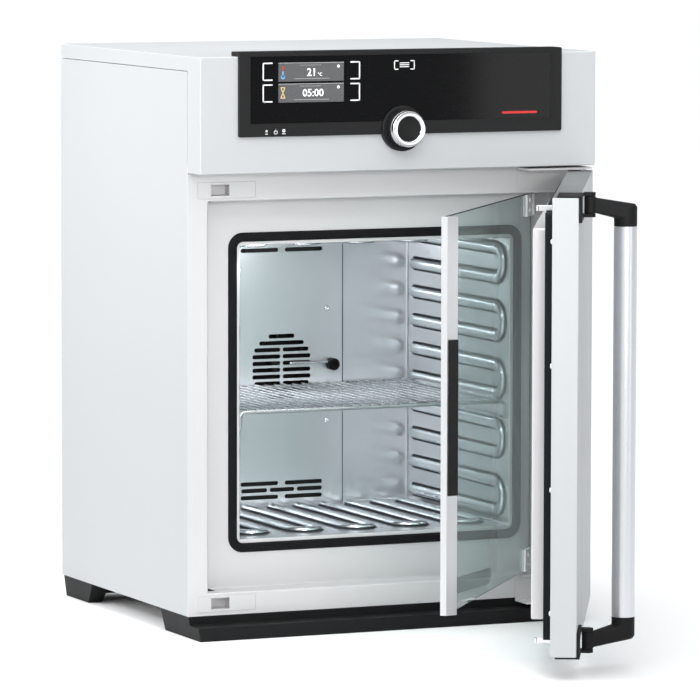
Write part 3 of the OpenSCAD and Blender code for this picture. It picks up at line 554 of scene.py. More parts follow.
def piece(name, part, material, nodes, body="cabinet", place=HERE, smooth_angle=40, weighted=True):
    """Turns a bmesh in millimetres into a named object that rides on a body and replaces its CAD nodes."""
    bmesh.ops.remove_doubles(part, verts=part.verts, dist=0.0005)
    mesh = bpy.data.meshes.new(name)
    part.to_mesh(mesh)
    part.free()
    mesh.transform(place @ Matrix.Scale(MM, 4))
    mesh.shade_smooth()
    mesh.set_sharp_from_angle(angle=radians(smooth_angle))
    mesh.materials.append(material)
    thing = placed(name, mesh)
    if weighted:
        normals = thing.modifiers.new("normals", "WEIGHTED_NORMAL")
        normals.keep_sharp = True
        normals.weight = 80
    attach(thing, body)
    if nodes:
        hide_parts(*nodes)
    return thing


def paint(node, material):
    """Gives a CAD node that stays as it is a finished material."""
    mesh = NODES[node].data
    mesh.materials.clear()
    mesh.materials.append(material)
    mesh.shade_smooth()
    mesh.set_sharp_from_angle(angle=radians(30))


def from_cad(node, place=HERE, width=0.4, segments=2):
    """The exact CAD shape of a node in millimetres, its flat faces made whole and its edges rounded."""
    part = bmesh.new()
    part.from_mesh(NODES[node].data)
    moved(part, Matrix.Scale(1 / MM, 4) @ place.inverted())
    return edge_round(cleaned(part, 0.002), width, segments)


def dressed(name, node, material, slot_name, width, segments=2, body="cabinet", place=HERE):
    """A piece with a node's exact CAD shape."""
    piece(name, from_cad(node, place, width, segments), material, [node], body, place)


def printed(name, parts, material, body="cabinet"):
    """A thin printed or lit mark that replaces no node."""
    piece(name, join(*parts), material, [], body, weighted=False)


def tray(x0, x1, z0, z1, rim, face, t, bend, corner, flange=0.0):
    """Folded sheet: a flat face, four bent sides and an open rim, perhaps with a flange turned inwards."""
    s = 1 if face > rim else -1
    steps = quarter(5)
    box = (x0, x1, z0, z1)
    outer = [grown(box, -flange, corner, rim)]
    inner = []
    if flange:
        outer += [grown(box, bend * (sin(a) - 1), corner, rim + s * bend * (1 - cos(a))) for a in steps]
        inner.append(grown(box, -flange, corner, rim + s * t))
    outer += [grown(box, bend * (cos(a) - 1), corner, face - s * bend * (1 - sin(a))) for a in steps]
    for y in (rim + s * t if flange else rim, face - s * t):
        inner.append(grown(box, -t, max(corner - t, 0.2), y))
    return lofted([*reversed(inner), *outer])


def skin(rings, t):
    """A bent sheet from its front rings, with its back a thickness behind and outside."""
    back = [(x0 - t, x1 + t, z0 - t, z1 + t, r + t, y + t) for x0, x1, z0, z1, r, y in rings]
    return lofted([*rings, *reversed(back)], loop=True)


def bent_rings(box, corner, y, bend, inward):
    """Rings of a quarter bend from depth y; an inward bend turns from a wall to a face inside it."""
    if inward:
        return [grown(box, -bend * (1 - cos(a)), max(corner - bend * (1 - cos(a)), 0.3), y + bend * sin(a))
                for a in quarter(5)]
    return [grown(box, bend * (1 - sin(a)), corner + bend * (1 - sin(a)), y + bend * (1 - cos(a)))
            for a in quarter(5)]


UP = Matrix(((1, 0, 0, 0), (0, 0, 1, 0), (0, 1, 0, 0), (0, 0, 0, 1)))
SHEET_T = 1.2
SHEET_BEND = 1.6
FRAME_T = 1.5
RECESS = (-263.0, 263.0, 60.7, 589.0)
RECESS_D = 40.0
LINER_CORNER = 3.0
WELL_R = 75.0
KEEPER_Z = (46.5, 604.0)
KEEPER_H = 22
# A hinge bracket: plate bottom and top, tongue bottom, strip height, pin bottom and top. The lower
# plate ends 1.6 lower than in the CAD, clear of the recess's bend.
LOW_HINGE = (30.6, 57.4, 25.5, 8.0, (27.5, 48.5))
TOP_HINGE = (593.5, 625.0, 622.0, 3.0, (602.0, 623.0))
BAR_W, BAR_H = 14.5, 7.0
WINDOW_Z = ((722.2, 747.6), (750.2, 775.6))


# ---- casing
def casing():
    for node in ("side_panel_left", "side_panel_right"):
        dressed(node + "_sheet", node, CASING, "casing_paint", 0.5)
    top = Box("top_cover")
    lid = moved(tray(top.x0, top.x1, top.y0, top.y1, top.z0, top.z1, SHEET_T, SHEET_BEND, 1.5), UP)
    piece("top_cover_sheet", lid, CASING, ["top_cover"])
    head = Box("header_panel")
    fascia = tray(*head.front, head.y1, head.y0, SHEET_T, SHEET_BEND, 1.2)
    piece("header_sheet", fascia, CASING, ["header_panel"])
    dressed("rear_sheet", "rear_panel", CASING, "casing_paint", 0)


def rear_screws():
    """Pan-head screws with a shallow round socket round the rear panel's rim."""
    panel = Box("rear_panel")
    heights = [panel.z0 + 12 + (panel.z1 - panel.z0 - 24) * i / 4 for i in range(5)]
    spots = [(s * (panel.x1 - 8), z) for z in heights for s in (-1, 1)]
    spots += [(x, z) for x in (-120, 0, 120) for z in (heights[0], heights[-1])]
    heads = [pan_head(x, z, panel.y1, 1) for x, z in spots]
    piece("rear_panel_screws", join(*heads), BRIGHT, [])


def pan_head(x, z, y, out, r=3.6, h=1.9):
    """Screw head on a face at depth y, standing out along out (1 or -1) times Y, with a shallow round socket.
    """
    dome = [(r * cos(radians(a)) ** 0.6 if a < 90 else 0.0, h * sin(radians(a))) for a in (0, 25, 45, 62, 76)]
    profile = [(0, 0), (r, 0), *dome, (1.7, h)]
    head = turned(profile + [(1.5, h), (1.45, h * 0.45), (0, h * 0.45)], 24)
    turn = TO_Y if out > 0 else Matrix.Rotation(radians(90), 4, "X")
    return moved(head, shift(x, y, z) @ turn)


# ---- front frame, keepers, hinge brackets
def front_frame():
    sheet = Box("front_frame")
    keepers = Box("latch_keepers")
    brackets = Box("door_hinge_brackets")
    chamber = chamber_box()
    bend, corner, t = 2.0, 2.5, FRAME_T
    hair = 0.25
    holes = [rectangle(*grown(RECESS, bend, 0, 0)[:4], corner + bend, 8)]
    for z in KEEPER_Z:
        x0, x1 = keepers.x0 - hair, keepers.x1 + hair
        holes.append(rectangle(x0, x1, z - KEEPER_H / 2 - hair, z + KEEPER_H / 2 + hair, 1.5, 4))
    x0 = brackets.x0 - hair
    low, middle, high = LOW_HINGE[1] + hair, TOP_HINGE[0] - hair, TOP_HINGE[1] + hair
    outline = [(sheet.x0, sheet.z0), (x0, sheet.z0), (x0, low), (sheet.x1, low), (sheet.x1, middle),
               (x0, middle), (x0, high), (sheet.x1, high), (sheet.x1, sheet.z1), (sheet.x0, sheet.z1)]
    face = plate(outline, holes, 0, t)
    rings = bent_rings(RECESS, corner, 0, bend, False)
    rings += bent_rings(RECESS, corner, RECESS_D - bend, bend, True)
    rings += bent_rings(chamber, LINER_CORNER, RECESS_D, t, False)
    piece("front_frame_sheet", join(face, skin(rings, t)), FRAME, ["front_frame"])


def chamber_box():
    """The chamber's inner width and height: x0, x1, z0, z1."""
    liner = Box("chamber_liner")
    return (liner.x0 + SHEET_T, liner.x1 - SHEET_T, liner.z0 + SHEET_T, liner.z1 - SHEET_T)


def frame_fittings():
    dressed("latch_keeper_plates", "latch_keepers", FRAME, "frame_steel", 0.3)
    hinge = Box("door_hinge_brackets")
    x0, x1 = hinge.x0, hinge.x1
    axis_x, axis_y = DOOR_HINGE[:2]
    parts = []
    for low, high, tongue, strip, pin in (LOW_HINGE, TOP_HINGE):
        parts.append(block(x0, x1, 0, FRAME_T, low, high, 0.2))
        parts.append(block(x0, x1, hinge.y0, 0.4, tongue, tongue + 3, 0.5, 3))
        parts.append(block(x0, x1, -1.5, 0.2, tongue, tongue + strip, 0.3))
        parts.append(turned_z(fillet_rod(4, *pin, 0.4), axis_x, axis_y, 40))
    piece("hinge_bracket_plates", join(*parts), FRAME, ["door_hinge_brackets"])
    dressed("glass_hinge_pin_pair", "glass_hinge_pins", BRIGHT, "frame_steel", 0.3)
    dressed("recess_catch_pair", "recess_catches", BLACK, "black_plastic", 0.4)


# ---- chamber
def chamber():
    """The liner, with black sheets of painted shade in the fan well and behind the baffle that keep its slots
    dark; the sheet behind the baffle reaches past its sides as a painted shadow line.
    """
    box = chamber_box()
    end = Box("chamber_liner").y1
    baffle = Box("rear_baffle")
    back = baffle.y1
    bend, painted_shadow_gap = 3.0, 4.6
    axis_z = (box[2] + box[3]) / 2
    rings = [grown(box, 0, LINER_CORNER, RECESS_D + FRAME_T)]
    rings += bent_rings(box, LINER_CORNER, back - bend, bend, True)
    wall = skin(rings, SHEET_T)
    opening_ring = circle(0, axis_z, WELL_R, 64)
    rear = plate(rectangle(*grown(box, -bend, 0, 0)[:4], 0.3, 8), [opening_ring], back, back + SHEET_T)
    outside = WELL_R + SHEET_T
    profile = [(WELL_R, back), (WELL_R, end - SHEET_T), (0, end - SHEET_T), (0, end), (outside, end),
               (outside, back), (WELL_R, back)]
    well = turned_y(profile, 0, axis_z)
    piece("chamber_liner_sheet", join(wall, rear), CHAMBER, ["chamber_liner"])
    # Painted shade: the fan well is black all over.
    piece("fan_well_painted_shade", well, SHADE, [])
    # Painted shade: a black sheet behind the baffle, a little wider than it, so a painted shadow line shows
    # round its sides.
    around = rectangle(baffle.x0 - painted_shadow_gap, baffle.x1 + painted_shadow_gap, baffle.z0, baffle.z1)
    duct = plate(around, [opening_ring], back - 0.6, back - 0.1)
    piece("air_duct_painted_shade", duct, SHADE, [])


def bar_section():
    """Half width and height shares of a pressed bar's section, from foot to foot."""
    crown = [(cos(a) ** 0.8, 0.13 + 0.87 * sin(a) ** 0.75) for a in quarter(8)[1:-1]]
    shape = [(1.08, -0.05), (1.05, 0.04), (1.0, 0.13), *crown]
    return shape + [(0.0, 1.0)] + [(-u, h) for u, h in reversed(shape)]


FOOT_HALF = [(1.45, -0.05), (1.4, 0.02), (1.1, 0.04), (1.04, 0.12), (1.015, 0.4), (0.9, 0.42)]
FOOT_SECTION = FOOT_HALF + [(-u, h) for u, h in reversed(FOOT_HALF)]


def embossed(length, pitch, section):
    """A U of pressed bar lying on Z = 0: its nose at X = 0, its two legs running towards +X."""
    r = pitch / 2
    leg_steps = 6
    path = [(length - (length - r) * i / leg_steps, -r) for i in range(leg_steps)]
    path += [(r - r * sin(a), -r * cos(a)) for a in (radians(180 * i / 20) for i in range(21))]
    path += [(r + (length - r) * (i + 1) / leg_steps, r) for i in range(leg_steps)]
    half = BAR_W / 2
    ends = [0.0, 0.35, 1.0, 2.2, 4.0, 6.0]
    first = [(path[0][0] - e, path[0][1]) for e in ends]
    last = [(path[-1][0] - e, path[-1][1]) for e in reversed(ends)]
    shares = [sqrt(max(0.0, 1 - (1 - e / half) ** 2)) for e in ends]
    stations = list(zip(first, shares))
    stations += [(p, 1.0) for p in path[1:-1] if p[0] < length - half]
    stations += list(zip(last, reversed(shares)))
    rows = []
    for i, ((x, y), share) in enumerate(stations):
        before = stations[max(i - 1, 0)][0]
        after = stations[min(i + 1, len(stations) - 1)][0]
        along = Vector((after[0] - before[0], after[1] - before[1])).normalized()
        across = Vector((-along.y, along.x))
        share = max(share, 0.02)
        wide, tall = half * share, BAR_H * share
        rows.append([(x + across.x * u * wide, y + across.y * u * wide, h * tall) for u, h in section])
    return skinned(rows, caps=True)


def chamber_bars():
    """The embossed bars, and dark flats along their feet that stand in for the dark reflections there."""
    box = chamber_box()
    side_pitch, floor_pitch = 40.6, 40.0
    side_nose, floor_nose, bar_end = 51.0, 77.0, 347.0
    mid_z = (box[2] + box[3]) / 2
    for name, section, material, nodes in (("chamber_bars", bar_section(), BARS, ["chamber_ribs"]),
                                           ("chamber_bar_foot_reflections", FOOT_SECTION, PAINTED_REFLECTION, [])):
        parts = []
        for i in range(5):
            wall = embossed(bar_end - side_nose, side_pitch, section)
            moved(wall, shift(box[0], side_nose + BAR_W / 2, mid_z + (2 * i - 4) * side_pitch) @ YZ)
            parts.append(both(wall, Matrix.Diagonal((-1, 1, 1, 1))))
            floor = embossed(bar_end - floor_nose, floor_pitch, section)
            spot = shift((i - 2) * 2 * floor_pitch, floor_nose + BAR_W / 2, box[2])
            moved(floor, spot @ Matrix.Rotation(radians(90), 4, "Z"))
            parts.append(both(floor, mirror_z(mid_z)))
        piece(name, join(*parts), material, nodes, smooth_angle=60, weighted=False)


def chamber_fittings():
    paint("rear_baffle", CHAMBER)
    screws = Box("baffle_screws")
    head_r, head_h, spots_x, spots_z = 4.2, 2.0, (-70, 70), (246.5, 407.0)
    heads = [pan_head(x, z, screws.y0 + head_h, -1, head_r, head_h) for x in spots_x for z in spots_z]
    piece("baffle_screw_heads", join(*heads), BRIGHT, ["baffle_screws"])
    probe = Box("temperature_sensor")
    rod = swept([(probe.x0, probe.y, probe.z), (probe.x1, probe.y, probe.z)], 2.0, 16)
    piece("temperature_probe", rod, BRIGHT, ["temperature_sensor"])
    grommet = Box("sensor_grommet")
    r, y = (grommet.x1 - grommet.x0) / 2, grommet.y0
    lips = [(0, grommet.y1), (r, grommet.y1), (r, y + 3), (r - 0.8, y + 1), (r - 2.4, y), (r - 4, y + 0.8),
            (r - 4.8, y + 3.5), (0, y + 4)]
    ring = turned_y(lips, grommet.x, grommet.z, 40)
    piece("sensor_grommet_ring", ring, RUBBER, ["sensor_grommet"])
    gasket = Box("opening_gasket")
    inner_x, inner_r, outer_r = 204.8, 9, 21
    lip = gasket.x1 - inner_x
    hole = (-inner_x, inner_x, gasket.z0 + lip, gasket.z1 - lip)
    depth = gasket.y1 - gasket.y0
    rise = [(0.0, 0.0), (0.0, 0.45), (0.06, 0.75), (0.16, 0.93), (0.3, 1.0)]
    curve = rise + [(1 - u, h) for u, h in reversed(rise)]
    rings = [grown(hole, lip * u, inner_r + (outer_r - inner_r) * u, gasket.y1 - depth * h) for u, h in curve]
    piece("opening_gasket_lip", lofted(rings, loop=True), RUBBER, ["opening_gasket"],
          smooth_angle=70)


def wire_shelf():
    """The shelf; its wires are a little thinner than in the CAD."""
    shelf = Box("wire_shelf")
    rail, wire = 2.5, 1.25
    bend = 7.0
    x = shelf.x1 - rail
    y0, y1 = shelf.y0 + rail, shelf.y1 - rail
    low, high = shelf.z0 + rail, 298.0
    parts = []
    for y in (y0, y1):
        corners = [(-x, y, low), (-x, y, high), (x, y, high), (x, y, low)]
        parts.append(swept(rounded_path(corners, bend), rail, 16))
    for side in (-x, x):
        parts.append(swept([(side, y0 - 1, low + 0.2), (side, y1 + 1, low + 0.2)], rail, 16))
    count, pitch = 27, 14.3
    on_rail = high + rail + wire - 0.8
    for i in range(count):
        at = (i - (count - 1) / 2) * pitch
        parts.append(swept([(at, y0 - 1.5, on_rail), (at, y1 + 1.5, on_rail)], wire, 10))
    piece("wire_shelf_grid", join(*parts), WIRE, ["wire_shelf"], smooth_angle=60,
          weighted=False)


# ---- what it stands on
def stand():
    for node in ("front_plinth", "rear_feet", "rear_crossbar"):
        dressed(node + "_moulding", node, BLACK, "black_plastic", 1.2, 3)


# ---- control panel
def stroke(points, width, y0, y1):
    """Flat printed line through points, made of round-ended bars."""
    parts = []
    half = width / 2
    for (xa, za), (xb, zb) in zip(points, points[1:]):
        length = hypot(xb - xa, zb - za)
        bar = extruded(rectangle(-half, length + half, -half, half, half - 0.01, 3), [], y1 - y0)
        lay = shift(xa, y1, za) @ XZ @ Matrix.Rotation(atan2(zb - za, xb - xa), 4, "Z")
        parts.append(moved(bar, lay))
    return join(*parts)


def ring_mark(x, z, r, width, start, end, y0, y1):
    steps = max(6, ceil(abs(end - start) / 12))
    outline = arc(x, z, r + width / 2, start, end, steps) + arc(x, z, r - width / 2, end, start, steps)
    return plate(outline, [], y0, y1)


def lettering(text, height, x, z, y0, y1):
    """Figures on the display, centred on x with their foot at z."""
    curve = bpy.data.curves.new("figures", "FONT")
    curve.body = text
    curve.size = height / 0.72
    curve.align_x = "CENTER"
    curve.extrude = (y1 - y0) / 2
    curve.offset = height * 0.012
    curve.resolution_u = 3
    return moved(from_curve(curve), shift(x, (y0 + y1) / 2, z) @ XZ)


def control_panel():
    whole = Box("control_frame")
    pane = Box("display_glass")
    seat = Box("knob_seat")
    screens = Box("display_windows")
    knob_z = seat.z
    r = (seat.x1 - seat.x0) / 2 + 0.1
    header_y = Box("header_panel").y0
    low, high = whole.z0 - knob_z, pane.z0 - 0.1 - knob_z
    xl, xh = sqrt(r * r - low * low), sqrt(r * r - high * high)
    a0, a1 = degrees(atan2(low, xl)), degrees(atan2(high, xh))
    soft = 2.5
    right = arc(0, knob_z, r, a1, a0, 6)
    outer = rectangle(*whole.front, soft, 5)
    left = [(-x, z) for x, z in reversed(right)]
    gap = 0.1
    inner = [(pane.x0 - gap, pane.z0 - gap), (pane.x0 - gap, pane.z1 + gap), (pane.x1 + gap, pane.z1 + gap),
             (pane.x1 + gap, pane.z0 - gap)]
    outline = [*right, *outer, *left, *inner]
    key = Box("power_key")
    key_hole = circle(key.x, key.z, (key.x1 - key.x0) / 2 + 0.3)
    face = plate(outline, [key_hole], whole.y0, header_y, 0.5)
    cap = block(whole.x0 + 0.6, whole.x1 - 0.6, header_y, whole.y1, pane.z1 + 0.05, whole.z1, 1.2, 3)
    piece("control_frame_moulding", join(face, cap), SATIN, ["control_frame"])

    rise = pane.z0 - knob_z
    b1 = degrees(atan2(rise, sqrt(r * r - rise * rise)))
    notch = arc(0, knob_z, r, 180 - b1, b1, 16)
    edge = [(pane.x0, pane.z0), *notch, (pane.x1, pane.z0), (pane.x1, pane.z1), (pane.x0, pane.z1)]
    windows = [(screens.x0, screens.x1, z0, z1) for z0, z1 in WINDOW_Z]
    cuts = [rectangle(*window, 0.6, 3) for window in windows]
    glass = plate(edge, cuts, pane.y0, pane.y1, 0.15)
    piece("panel_glass_plate", glass, GLOSS, ["display_glass"])
    screen_parts = [block(*window[:2], screens.y0 + 0.2, screens.y1, *window[2:], 0.1) for window in windows]
    piece("display_screens", join(*screen_parts), LCD, ["display_windows"])
    panel_marks(pane.y0, windows, screens.y0 + 0.2)


def bracket_mark(x0, x1, z0, z1, width, open_right, y0, y1):
    xs = (x1, x0, x0, x1) if open_right else (x0, x1, x1, x0)
    return stroke(list(zip(xs, (z1, z1, z0, z0))), width, y0, y1)


def panel_marks(y, windows, screen_y):
    """Printed brackets and symbols on the glass, and the lit figures on the two displays."""
    ink = (y - 0.06, y + 0.02)
    left, right = (-203.6, -190.8), (-76.0, -63.2)
    white = []
    for opens, closes, z0, z1, width in ((left, right, 723.7, 746.1, 1.7), (left, right, 752.5, 775.0, 1.7),
                                         ((-11.7, -6.5), (12.3, 17.5), 764.2, 775.4, 1.3)):
        white.append(bracket_mark(*opens, z0, z1, width, True, *ink))
        white.append(bracket_mark(*closes, z0, z1, width, False, *ink))
    white += [stroke([(-3.5, z), (9.5, z)], 1.0, *ink) for z in (767.4, 770.0, 772.6)]
    printed("panel_print", white, WHITE_INK_PAINTED_GLOW)
    printed("panel_accent", [stroke([(150, 703), (200, 703)], 3.2, *ink)], RED_INK)

    lit = (screen_y - 0.08, screen_y + 0.02)
    lower, upper = windows[0][2], windows[1][2]
    dot_x, icon_x = windows[0][1] - 8, -175
    figures = [lettering("21", 10.5, -133, upper + 7.2, *lit), lettering("°C", 4.2, -121, upper + 7.2, *lit),
               lettering("05:00", 10.0, -131, lower + 8.0, *lit)]
    figures += [ring_mark(dot_x, z + 19.6, 1.3, 1.2, 0, 359, *lit) for z in (upper, lower)]
    printed("display_figures", figures, DIGITS)
    grey = [stroke([(-158, z + 3.6), (-108, z + 3.6)], 0.7, *lit) for z in (upper, lower)]
    grey += [stroke([(-150, z + 21.6), (-120, z + 21.6)], 0.5, *lit) for z in (upper, lower)]
    grey += [stroke([(x0, z1 - 0.7), (x1, z1 - 0.7)], 0.8, *lit) for x0, x1, _, z1 in windows]
    printed("display_rules", grey, GREY_INK)
    bulb = [stroke([(icon_x, upper + 6), (icon_x, upper + 14)], 2.2, *lit),
            ring_mark(icon_x, upper + 6, 1.6, 2.6, 0, 359, *lit)]
    printed("display_icon_bulb", bulb, BLUE)
    warm = stroke([(icon_x, upper + 15), (icon_x, upper + 20)], 2.2, *lit)
    printed("display_icon_warm", [warm], RED_INK)
    left, right, low, high = icon_x - 3, icon_x + 3, lower + 6, lower + 20
    timer = stroke([(left, high), (right, high), (left, low), (right, low), (left, high)], 1.4, *lit)
    printed("display_icon_timer", [timer], AMBER)

    face = Box("control_frame").y0
    soft = (face - 0.06, face + 0.02)
    key_z = Box("power_key").z
    small = []
    for x, rise, r, width, half in ((-199, 1.6, 1.1, 0.9, 1.6), (-174, 1.8, 1.6, 1.2, 2.2)):
        small.append(ring_mark(x, key_z + rise, r, width, 0, 359, *soft))
        small.append(stroke([(x - half, key_z - 2.2), (x + half, key_z - 2.2)], 0.9, *soft))
    printed("frame_print", small, WHITE_INK_PAINTED_GLOW)


def knob():
    seat, body, ring, cap = (Box("knob_" + name) for name in ("seat", "body", "ring", "cap"))
    z = seat.z
    seat_r, body_r, bore = 30.7, 25, 17.0
    disc = turned_y(fillet_rod(seat_r, seat.y0, seat.y1, 1.2), 0, z, 96)
    piece("knob_seat_disc", disc, SATIN, ["knob_seat"])
    skirt = turned_y(fillet_rod(body_r, body.y0, body.y1, 0.6), 0, z, 96)
    piece("knob_skirt", skirt, SATIN, ["knob_body"], "knob")
    r = (ring.x1 - ring.x0) / 2
    front, back = ring.y0, ring.y1
    profile = [(bore, back), (r - 0.4, back), (r, back - 0.5), (r, back - 2.4), (r - 0.5, back - 2.8),
               (r - 0.5, back - 3.3), (r, back - 3.7), (r, front + 1.6), (r - 0.5, front + 0.5),
               (r - 1.7, front), (bore + 1.4, front), (bore + 0.4, front + 0.35), (bore, front + 1.0),
               (bore, back)]
    piece("knob_metal_ring", turned_y(profile, 0, z, 96), KNOB, ["knob_ring"], "knob")
    front = cap.y0
    dish = [(0, cap.y1), (bore - 0.1, cap.y1), (bore - 0.1, front + 0.6), (bore - 0.7, front),
            (bore - 1.6, front + 0.15), (8.0, front + 1.0), (0, front + 1.3)]
    dish = turned_y(dish, 0, z, 96)
    piece("knob_black_cap", dish, SATIN, ["knob_cap"], "knob", smooth_angle=50)


def power_key():
    key = Box("power_key")
    x, z, r = key.x, key.z, 4.5
    button = turned_y(fillet_rod(r, key.y0, key.y1, 0.4), x, z, 48)
    piece("power_key_button", button, SATIN, ["power_key"], "power_key")
    ink = (key.y0 - 0.06, key.y0 + 0.02)
    mark = [ring_mark(x, z, 2.4, 0.8, 120, 420, *ink), stroke([(x, z + 0.6), (x, z + 3.2)], 0.8, *ink)]
    printed("power_key_mark", mark, WHITE_INK_PAINTED_GLOW, "power_key")


# ---- outer door
def outer_door():
    """The door, with a guessed darker strip on top: painted shade that gives its top face its darker tone."""
    shell = Box("door_shell", place=DOOR)
    body = tray(*shell.front, shell.y1, shell.y0, SHEET_T, SHEET_BEND, 1.2, flange=15)
    piece("door_shell_sheet", body, CASING, ["door_shell"], "outer_door", DOOR)
    # Painted shade: a thin dark grey strip laid over the door's top face.
    inset = 0.6
    strip = block(shell.x0 + inset, shell.x1 - inset, shell.y0 + inset, shell.y1 - inset, shell.z1 - 0.1,
                  shell.z1 + 0.15, 0.05)
    piece("door_top_shade_strip", strip, DOOR_TOP_SHADE, [], "outer_door", DOOR)
    plug = Box("door_inner_panel", place=DOOR)
    inner = tray(*plug.front, plug.y0, plug.y1, SHEET_T, 2.5, 3.0)
    piece("door_plug_sheet", inner, LINER, ["door_inner_panel"], "outer_door", DOOR)
    dressed("door_seal_profile", "door_seal", RUBBER, "black_rubber", 0.8, 3, "outer_door", DOOR)
    screws = Box("door_screws", place=DOOR)
    margin, rows = 3, 4
    pitch = (screws.z1 - screws.z0 - 2 * margin) / (rows - 1)
    heads = [pan_head(x, screws.z0 + margin + i * pitch, screws.y0, 1, 3.4, 2.0)
             for x in (screws.x0 + margin, screws.x1 - margin) for i in range(rows)]
    piece("door_screw_heads", join(*heads), WHITE, ["door_screws"], "outer_door", DOOR)
    dressed("door_bushes", "door_hinge_bushes", BRASS, "bush_brass", 0.3, 2, "outer_door", DOOR)
    dressed("latch_hook_bar", "latch_hooks", BRIGHT, "wire_steel", 0.5, 3, "latch", DOOR)


def handle():
    dressed("handle_bracket_pair", "handle_brackets", BLACK, "black_plastic", 0.8, 3, "outer_door", DOOR)
    for node in ("handle_arm_top", "handle_arm_bottom"):
        part = from_cad(node, DOOR, 0)
        arm = piece(node + "_casting", part, BLACK, [node], "handle", DOOR, weighted=False)
        soften(arm, 0.8, 7)
    tube = Box("handle_tube", place=DOOR)
    r = (tube.x1 - tube.x0) / 2
    wall, edge = 2.0, 0.4
    profile = [(r - wall, tube.z0), (r - edge, tube.z0), (r, tube.z0 + edge), (r, tube.z1 - edge),
               (r - edge, tube.z1), (r - wall, tube.z1), (r - wall, tube.z0)]
    bar = turned_z(profile, tube.x, tube.y, 72)
    piece("handle_tube_bar", bar, ALUMINIUM, ["handle_tube"], "handle", DOOR)


def soften(thing, voxel, passes):
    """Melts a piece's edges together: one even skin, then smoothed."""
    remesh = thing.modifiers.new("skin", "REMESH")
    remesh.mode = "VOXEL"
    remesh.voxel_size = voxel * MM
    remesh.use_smooth_shade = True
    smooth = thing.modifiers.new("smooth", "SMOOTH")
    smooth.factor = 0.5
    smooth.iterations = passes
    graph = bpy.context.evaluated_depsgraph_get()
    mesh = bpy.data.meshes.new_from_object(thing.evaluated_get(graph))
    thing.modifiers.clear()
    thing.data = mesh


# ---- glass door
def glass_door():
    on_door = {"body": "glass_door", "place": GLASS}
    dressed("glass_door_pane", "glass_pane", TINTED, "tinted_glass", 0.5, **on_door)
    pane = Box("glass_pane", place=GLASS)
    outline = rectangle(*pane.front, 1.5, 4)
    edge = 0.5
    inside = rectangle(*grown(pane.front, -edge, 0, 0)[:4], 1.0, 4)
    rim = plate(outline, [inside], pane.y0 + edge, pane.y1 - edge)
    piece("glass_door_pane_edge", rim, EDGE, [], "glass_door", GLASS)
    dressed("glass_door_profile", "glass_profile", PROFILE, "satin_aluminium", 0.3, **on_door)
    dressed("glass_door_grip", "glass_grip", BLACK, "black_plastic", 0.4, **on_door)
    dressed("glass_door_clamps", "glass_clamps", WHITE, "satin_aluminium", 0.4, **on_door)


# ---- rear and inner parts
def rear_fittings():
    dressed("mains_inlet_socket", "mains_inlet", BLACK, "black_plastic", 0.5)
    guard = Box("rear_fan_cover")
    wire = 1.0
    y = (guard.y0 + guard.y1) / 2
    rings = [[(guard.x + r * cos(a), y, guard.z + r * sin(a)) for a in (2 * pi * i / 48 for i in range(48))]
             for r in range(13, 60, 11)]
    parts = [swept(ring, wire, 8, closed=True) for ring in rings]
    reach = (guard.x1 - guard.x0) / 2 - 1
    for dx, dz in ((reach, 0), (0, reach)):
        parts.append(swept([(guard.x - dx, y, guard.z - dz), (guard.x + dx, y, guard.z + dz)], wire, 8))
    piece("rear_fan_guard", join(*parts), BRIGHT, ["rear_fan_cover"], smooth_angle=60,
          weighted=False)
    paint("rear_fan_frame", BLACK)
    paint("rear_fan_rotor", BLACK)
    rear_screws()


def inner_parts():
    """Finishes of the parts inside. The cold plate is black as painted shade, to keep the baffle's top slots
    dark.
    """
    for nodes, material in ((("base_plate",), FRAME), (("encoder", "knob_shaft", "fan_shaft"), BRIGHT),
                            (("control_board",), BOARD), (("power_supply",), GREY),
                            (("insulation", "door_insulation"), FOAM), (("fan_motor",), BLACK),
                            (("cold_plate", "fan_wheel"), SHADE), (("peltier_module",), CERAMIC),
                            (("heat_sink",), CAST)):
        for node in nodes:
            paint(node, material)


# ---- studio
def studio():
    floor = bmesh.new()
    bmesh.ops.create_grid(floor, x_segments=2, y_segments=2, size=60)
    mesh = bpy.data.meshes.new("studio_floor")
    floor.to_mesh(mesh)
    floor.free()
    surface = Surface("studio_floor", (0.93, 0.93, 0.93), 0.9)
    surface.tone(surface.noise(1.5), 0.99, 1.0)
    mesh.materials.append(surface.material)
    ground = placed("studio_floor", mesh)

    world = bpy.data.worlds.new("studio")
    bpy.context.scene.world = world
    world.use_nodes = True
    nodes, links = world.node_tree.nodes, world.node_tree.links
    background = nodes["Background"]
    socket_value(background, "Color", (0.965, 0.985, 1.0, 1))
    toward = nodes.new("ShaderNodeVectorMath")
    toward.operation = "DOT_PRODUCT"
    toward.inputs[1].default_value = Vector((-0.25, -0.25, 0.93)).normalized()
    links.new(nodes.new("ShaderNodeTexCoord").outputs["Generated"], toward.inputs[0])
    strength = nodes.new("ShaderNodeMapRange")
    strength.interpolation_type = "SMOOTHSTEP"
    for name, value in zip(RANGE_ENDS, (0.1, 1.0, 0.08, 1.88)):
        socket_value(strength, name, value)
    links.new(toward.outputs["Value"], strength.inputs["Value"])
    links.new(strength.outputs["Result"], background.inputs["Strength"])


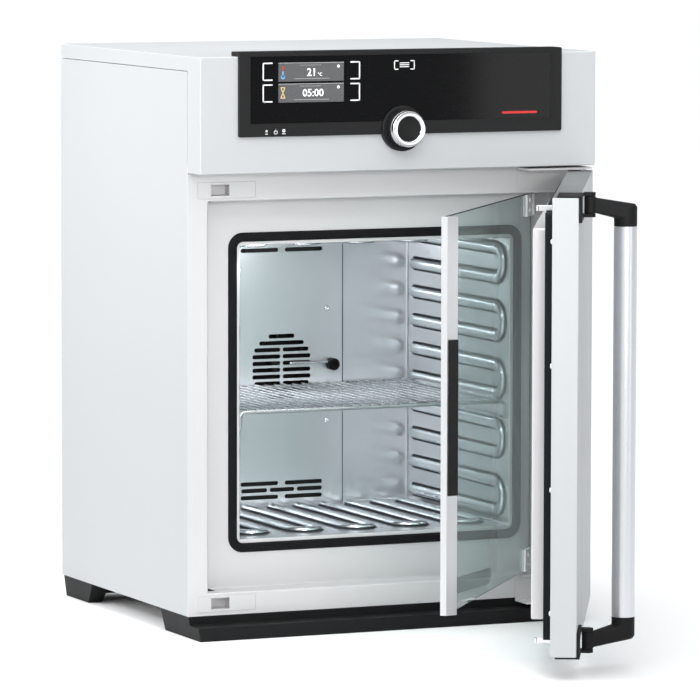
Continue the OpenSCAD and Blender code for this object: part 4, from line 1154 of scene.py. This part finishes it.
def lamp(name, size, power, place, target, spread=180):
    data = bpy.data.lights.new(name, "AREA")
    data.shape = "RECTANGLE"
    data.size, data.size_y = size
    data.energy = power
    data.spread = radians(spread)
    thing = placed(name, data)
    thing.location = place
    thing.rotation_euler = (Vector(target) - Vector(place)).to_track_quat("-Z", "Y").to_euler()


def lights():
    """Soft lamps, set for the view in camera(); panel_sheen is the one that the panel's glass reflects."""
    lamp("key_left", (1.2, 0.6), 5.4, (-2.2, 0.1, 1.6), (-0.3, 0.2, 0.8), 60)
    lamp("front_high", (1.6, 0.6), 2.5, (-0.7, -2.0, 2.1), (-0.1, 0, 0.8), 70)
    lamp("front_middle", (1.2, 0.5), 2.4, (-0.5, -2.9, 1.05), (-0.1, 0, 0.68), 45)
    lamp("overhead", (1.2, 1.0), 2.2, (-0.1, 0.25, 2.2), (-0.05, 0.25, 0.79), 60)
    lamp("panel_sheen", (0.9, 0.9), 9, (3.42, -6.0, 0.5), (0.1, -0.05, 0.73))
    lamp("chamber_strip", (0.24, 0.06), 0.62, (-0.08, 0.08, 0.512), (-0.18, 0.36, 0.34))


def camera():
    """The view of a photographer standing in front and to the left, with a long lens."""
    place, lens = (-3.118, -6.875, 1.088), 286.8
    yaw, pitch, roll = radians(24.015), radians(5.355), radians(0.106)
    ahead = Vector((sin(yaw) * cos(pitch), cos(yaw) * cos(pitch), -sin(pitch)))
    right = Vector((cos(yaw), -sin(yaw), 0))
    up = right.cross(ahead)
    across = right * cos(roll) + up * sin(roll)
    upright = up * cos(roll) - right * sin(roll)
    data = bpy.data.cameras.new("camera")
    data.lens = lens
    data.sensor_width = 36
    data.clip_end = 200
    thing = placed("camera", data)
    turn = Matrix((across, upright, -ahead)).transposed().to_4x4()
    thing.matrix_world = Matrix.Translation(place) @ turn
    bpy.context.scene.camera = thing


camera()
studio()
lights()
casing()
front_frame()
frame_fittings()
chamber()
chamber_bars()
chamber_fittings()
wire_shelf()
stand()
control_panel()
knob()
power_key()
outer_door()
handle()
glass_door()
rear_fittings()
inner_parts()
bpy.context.scene.view_settings.view_transform = "Standard"
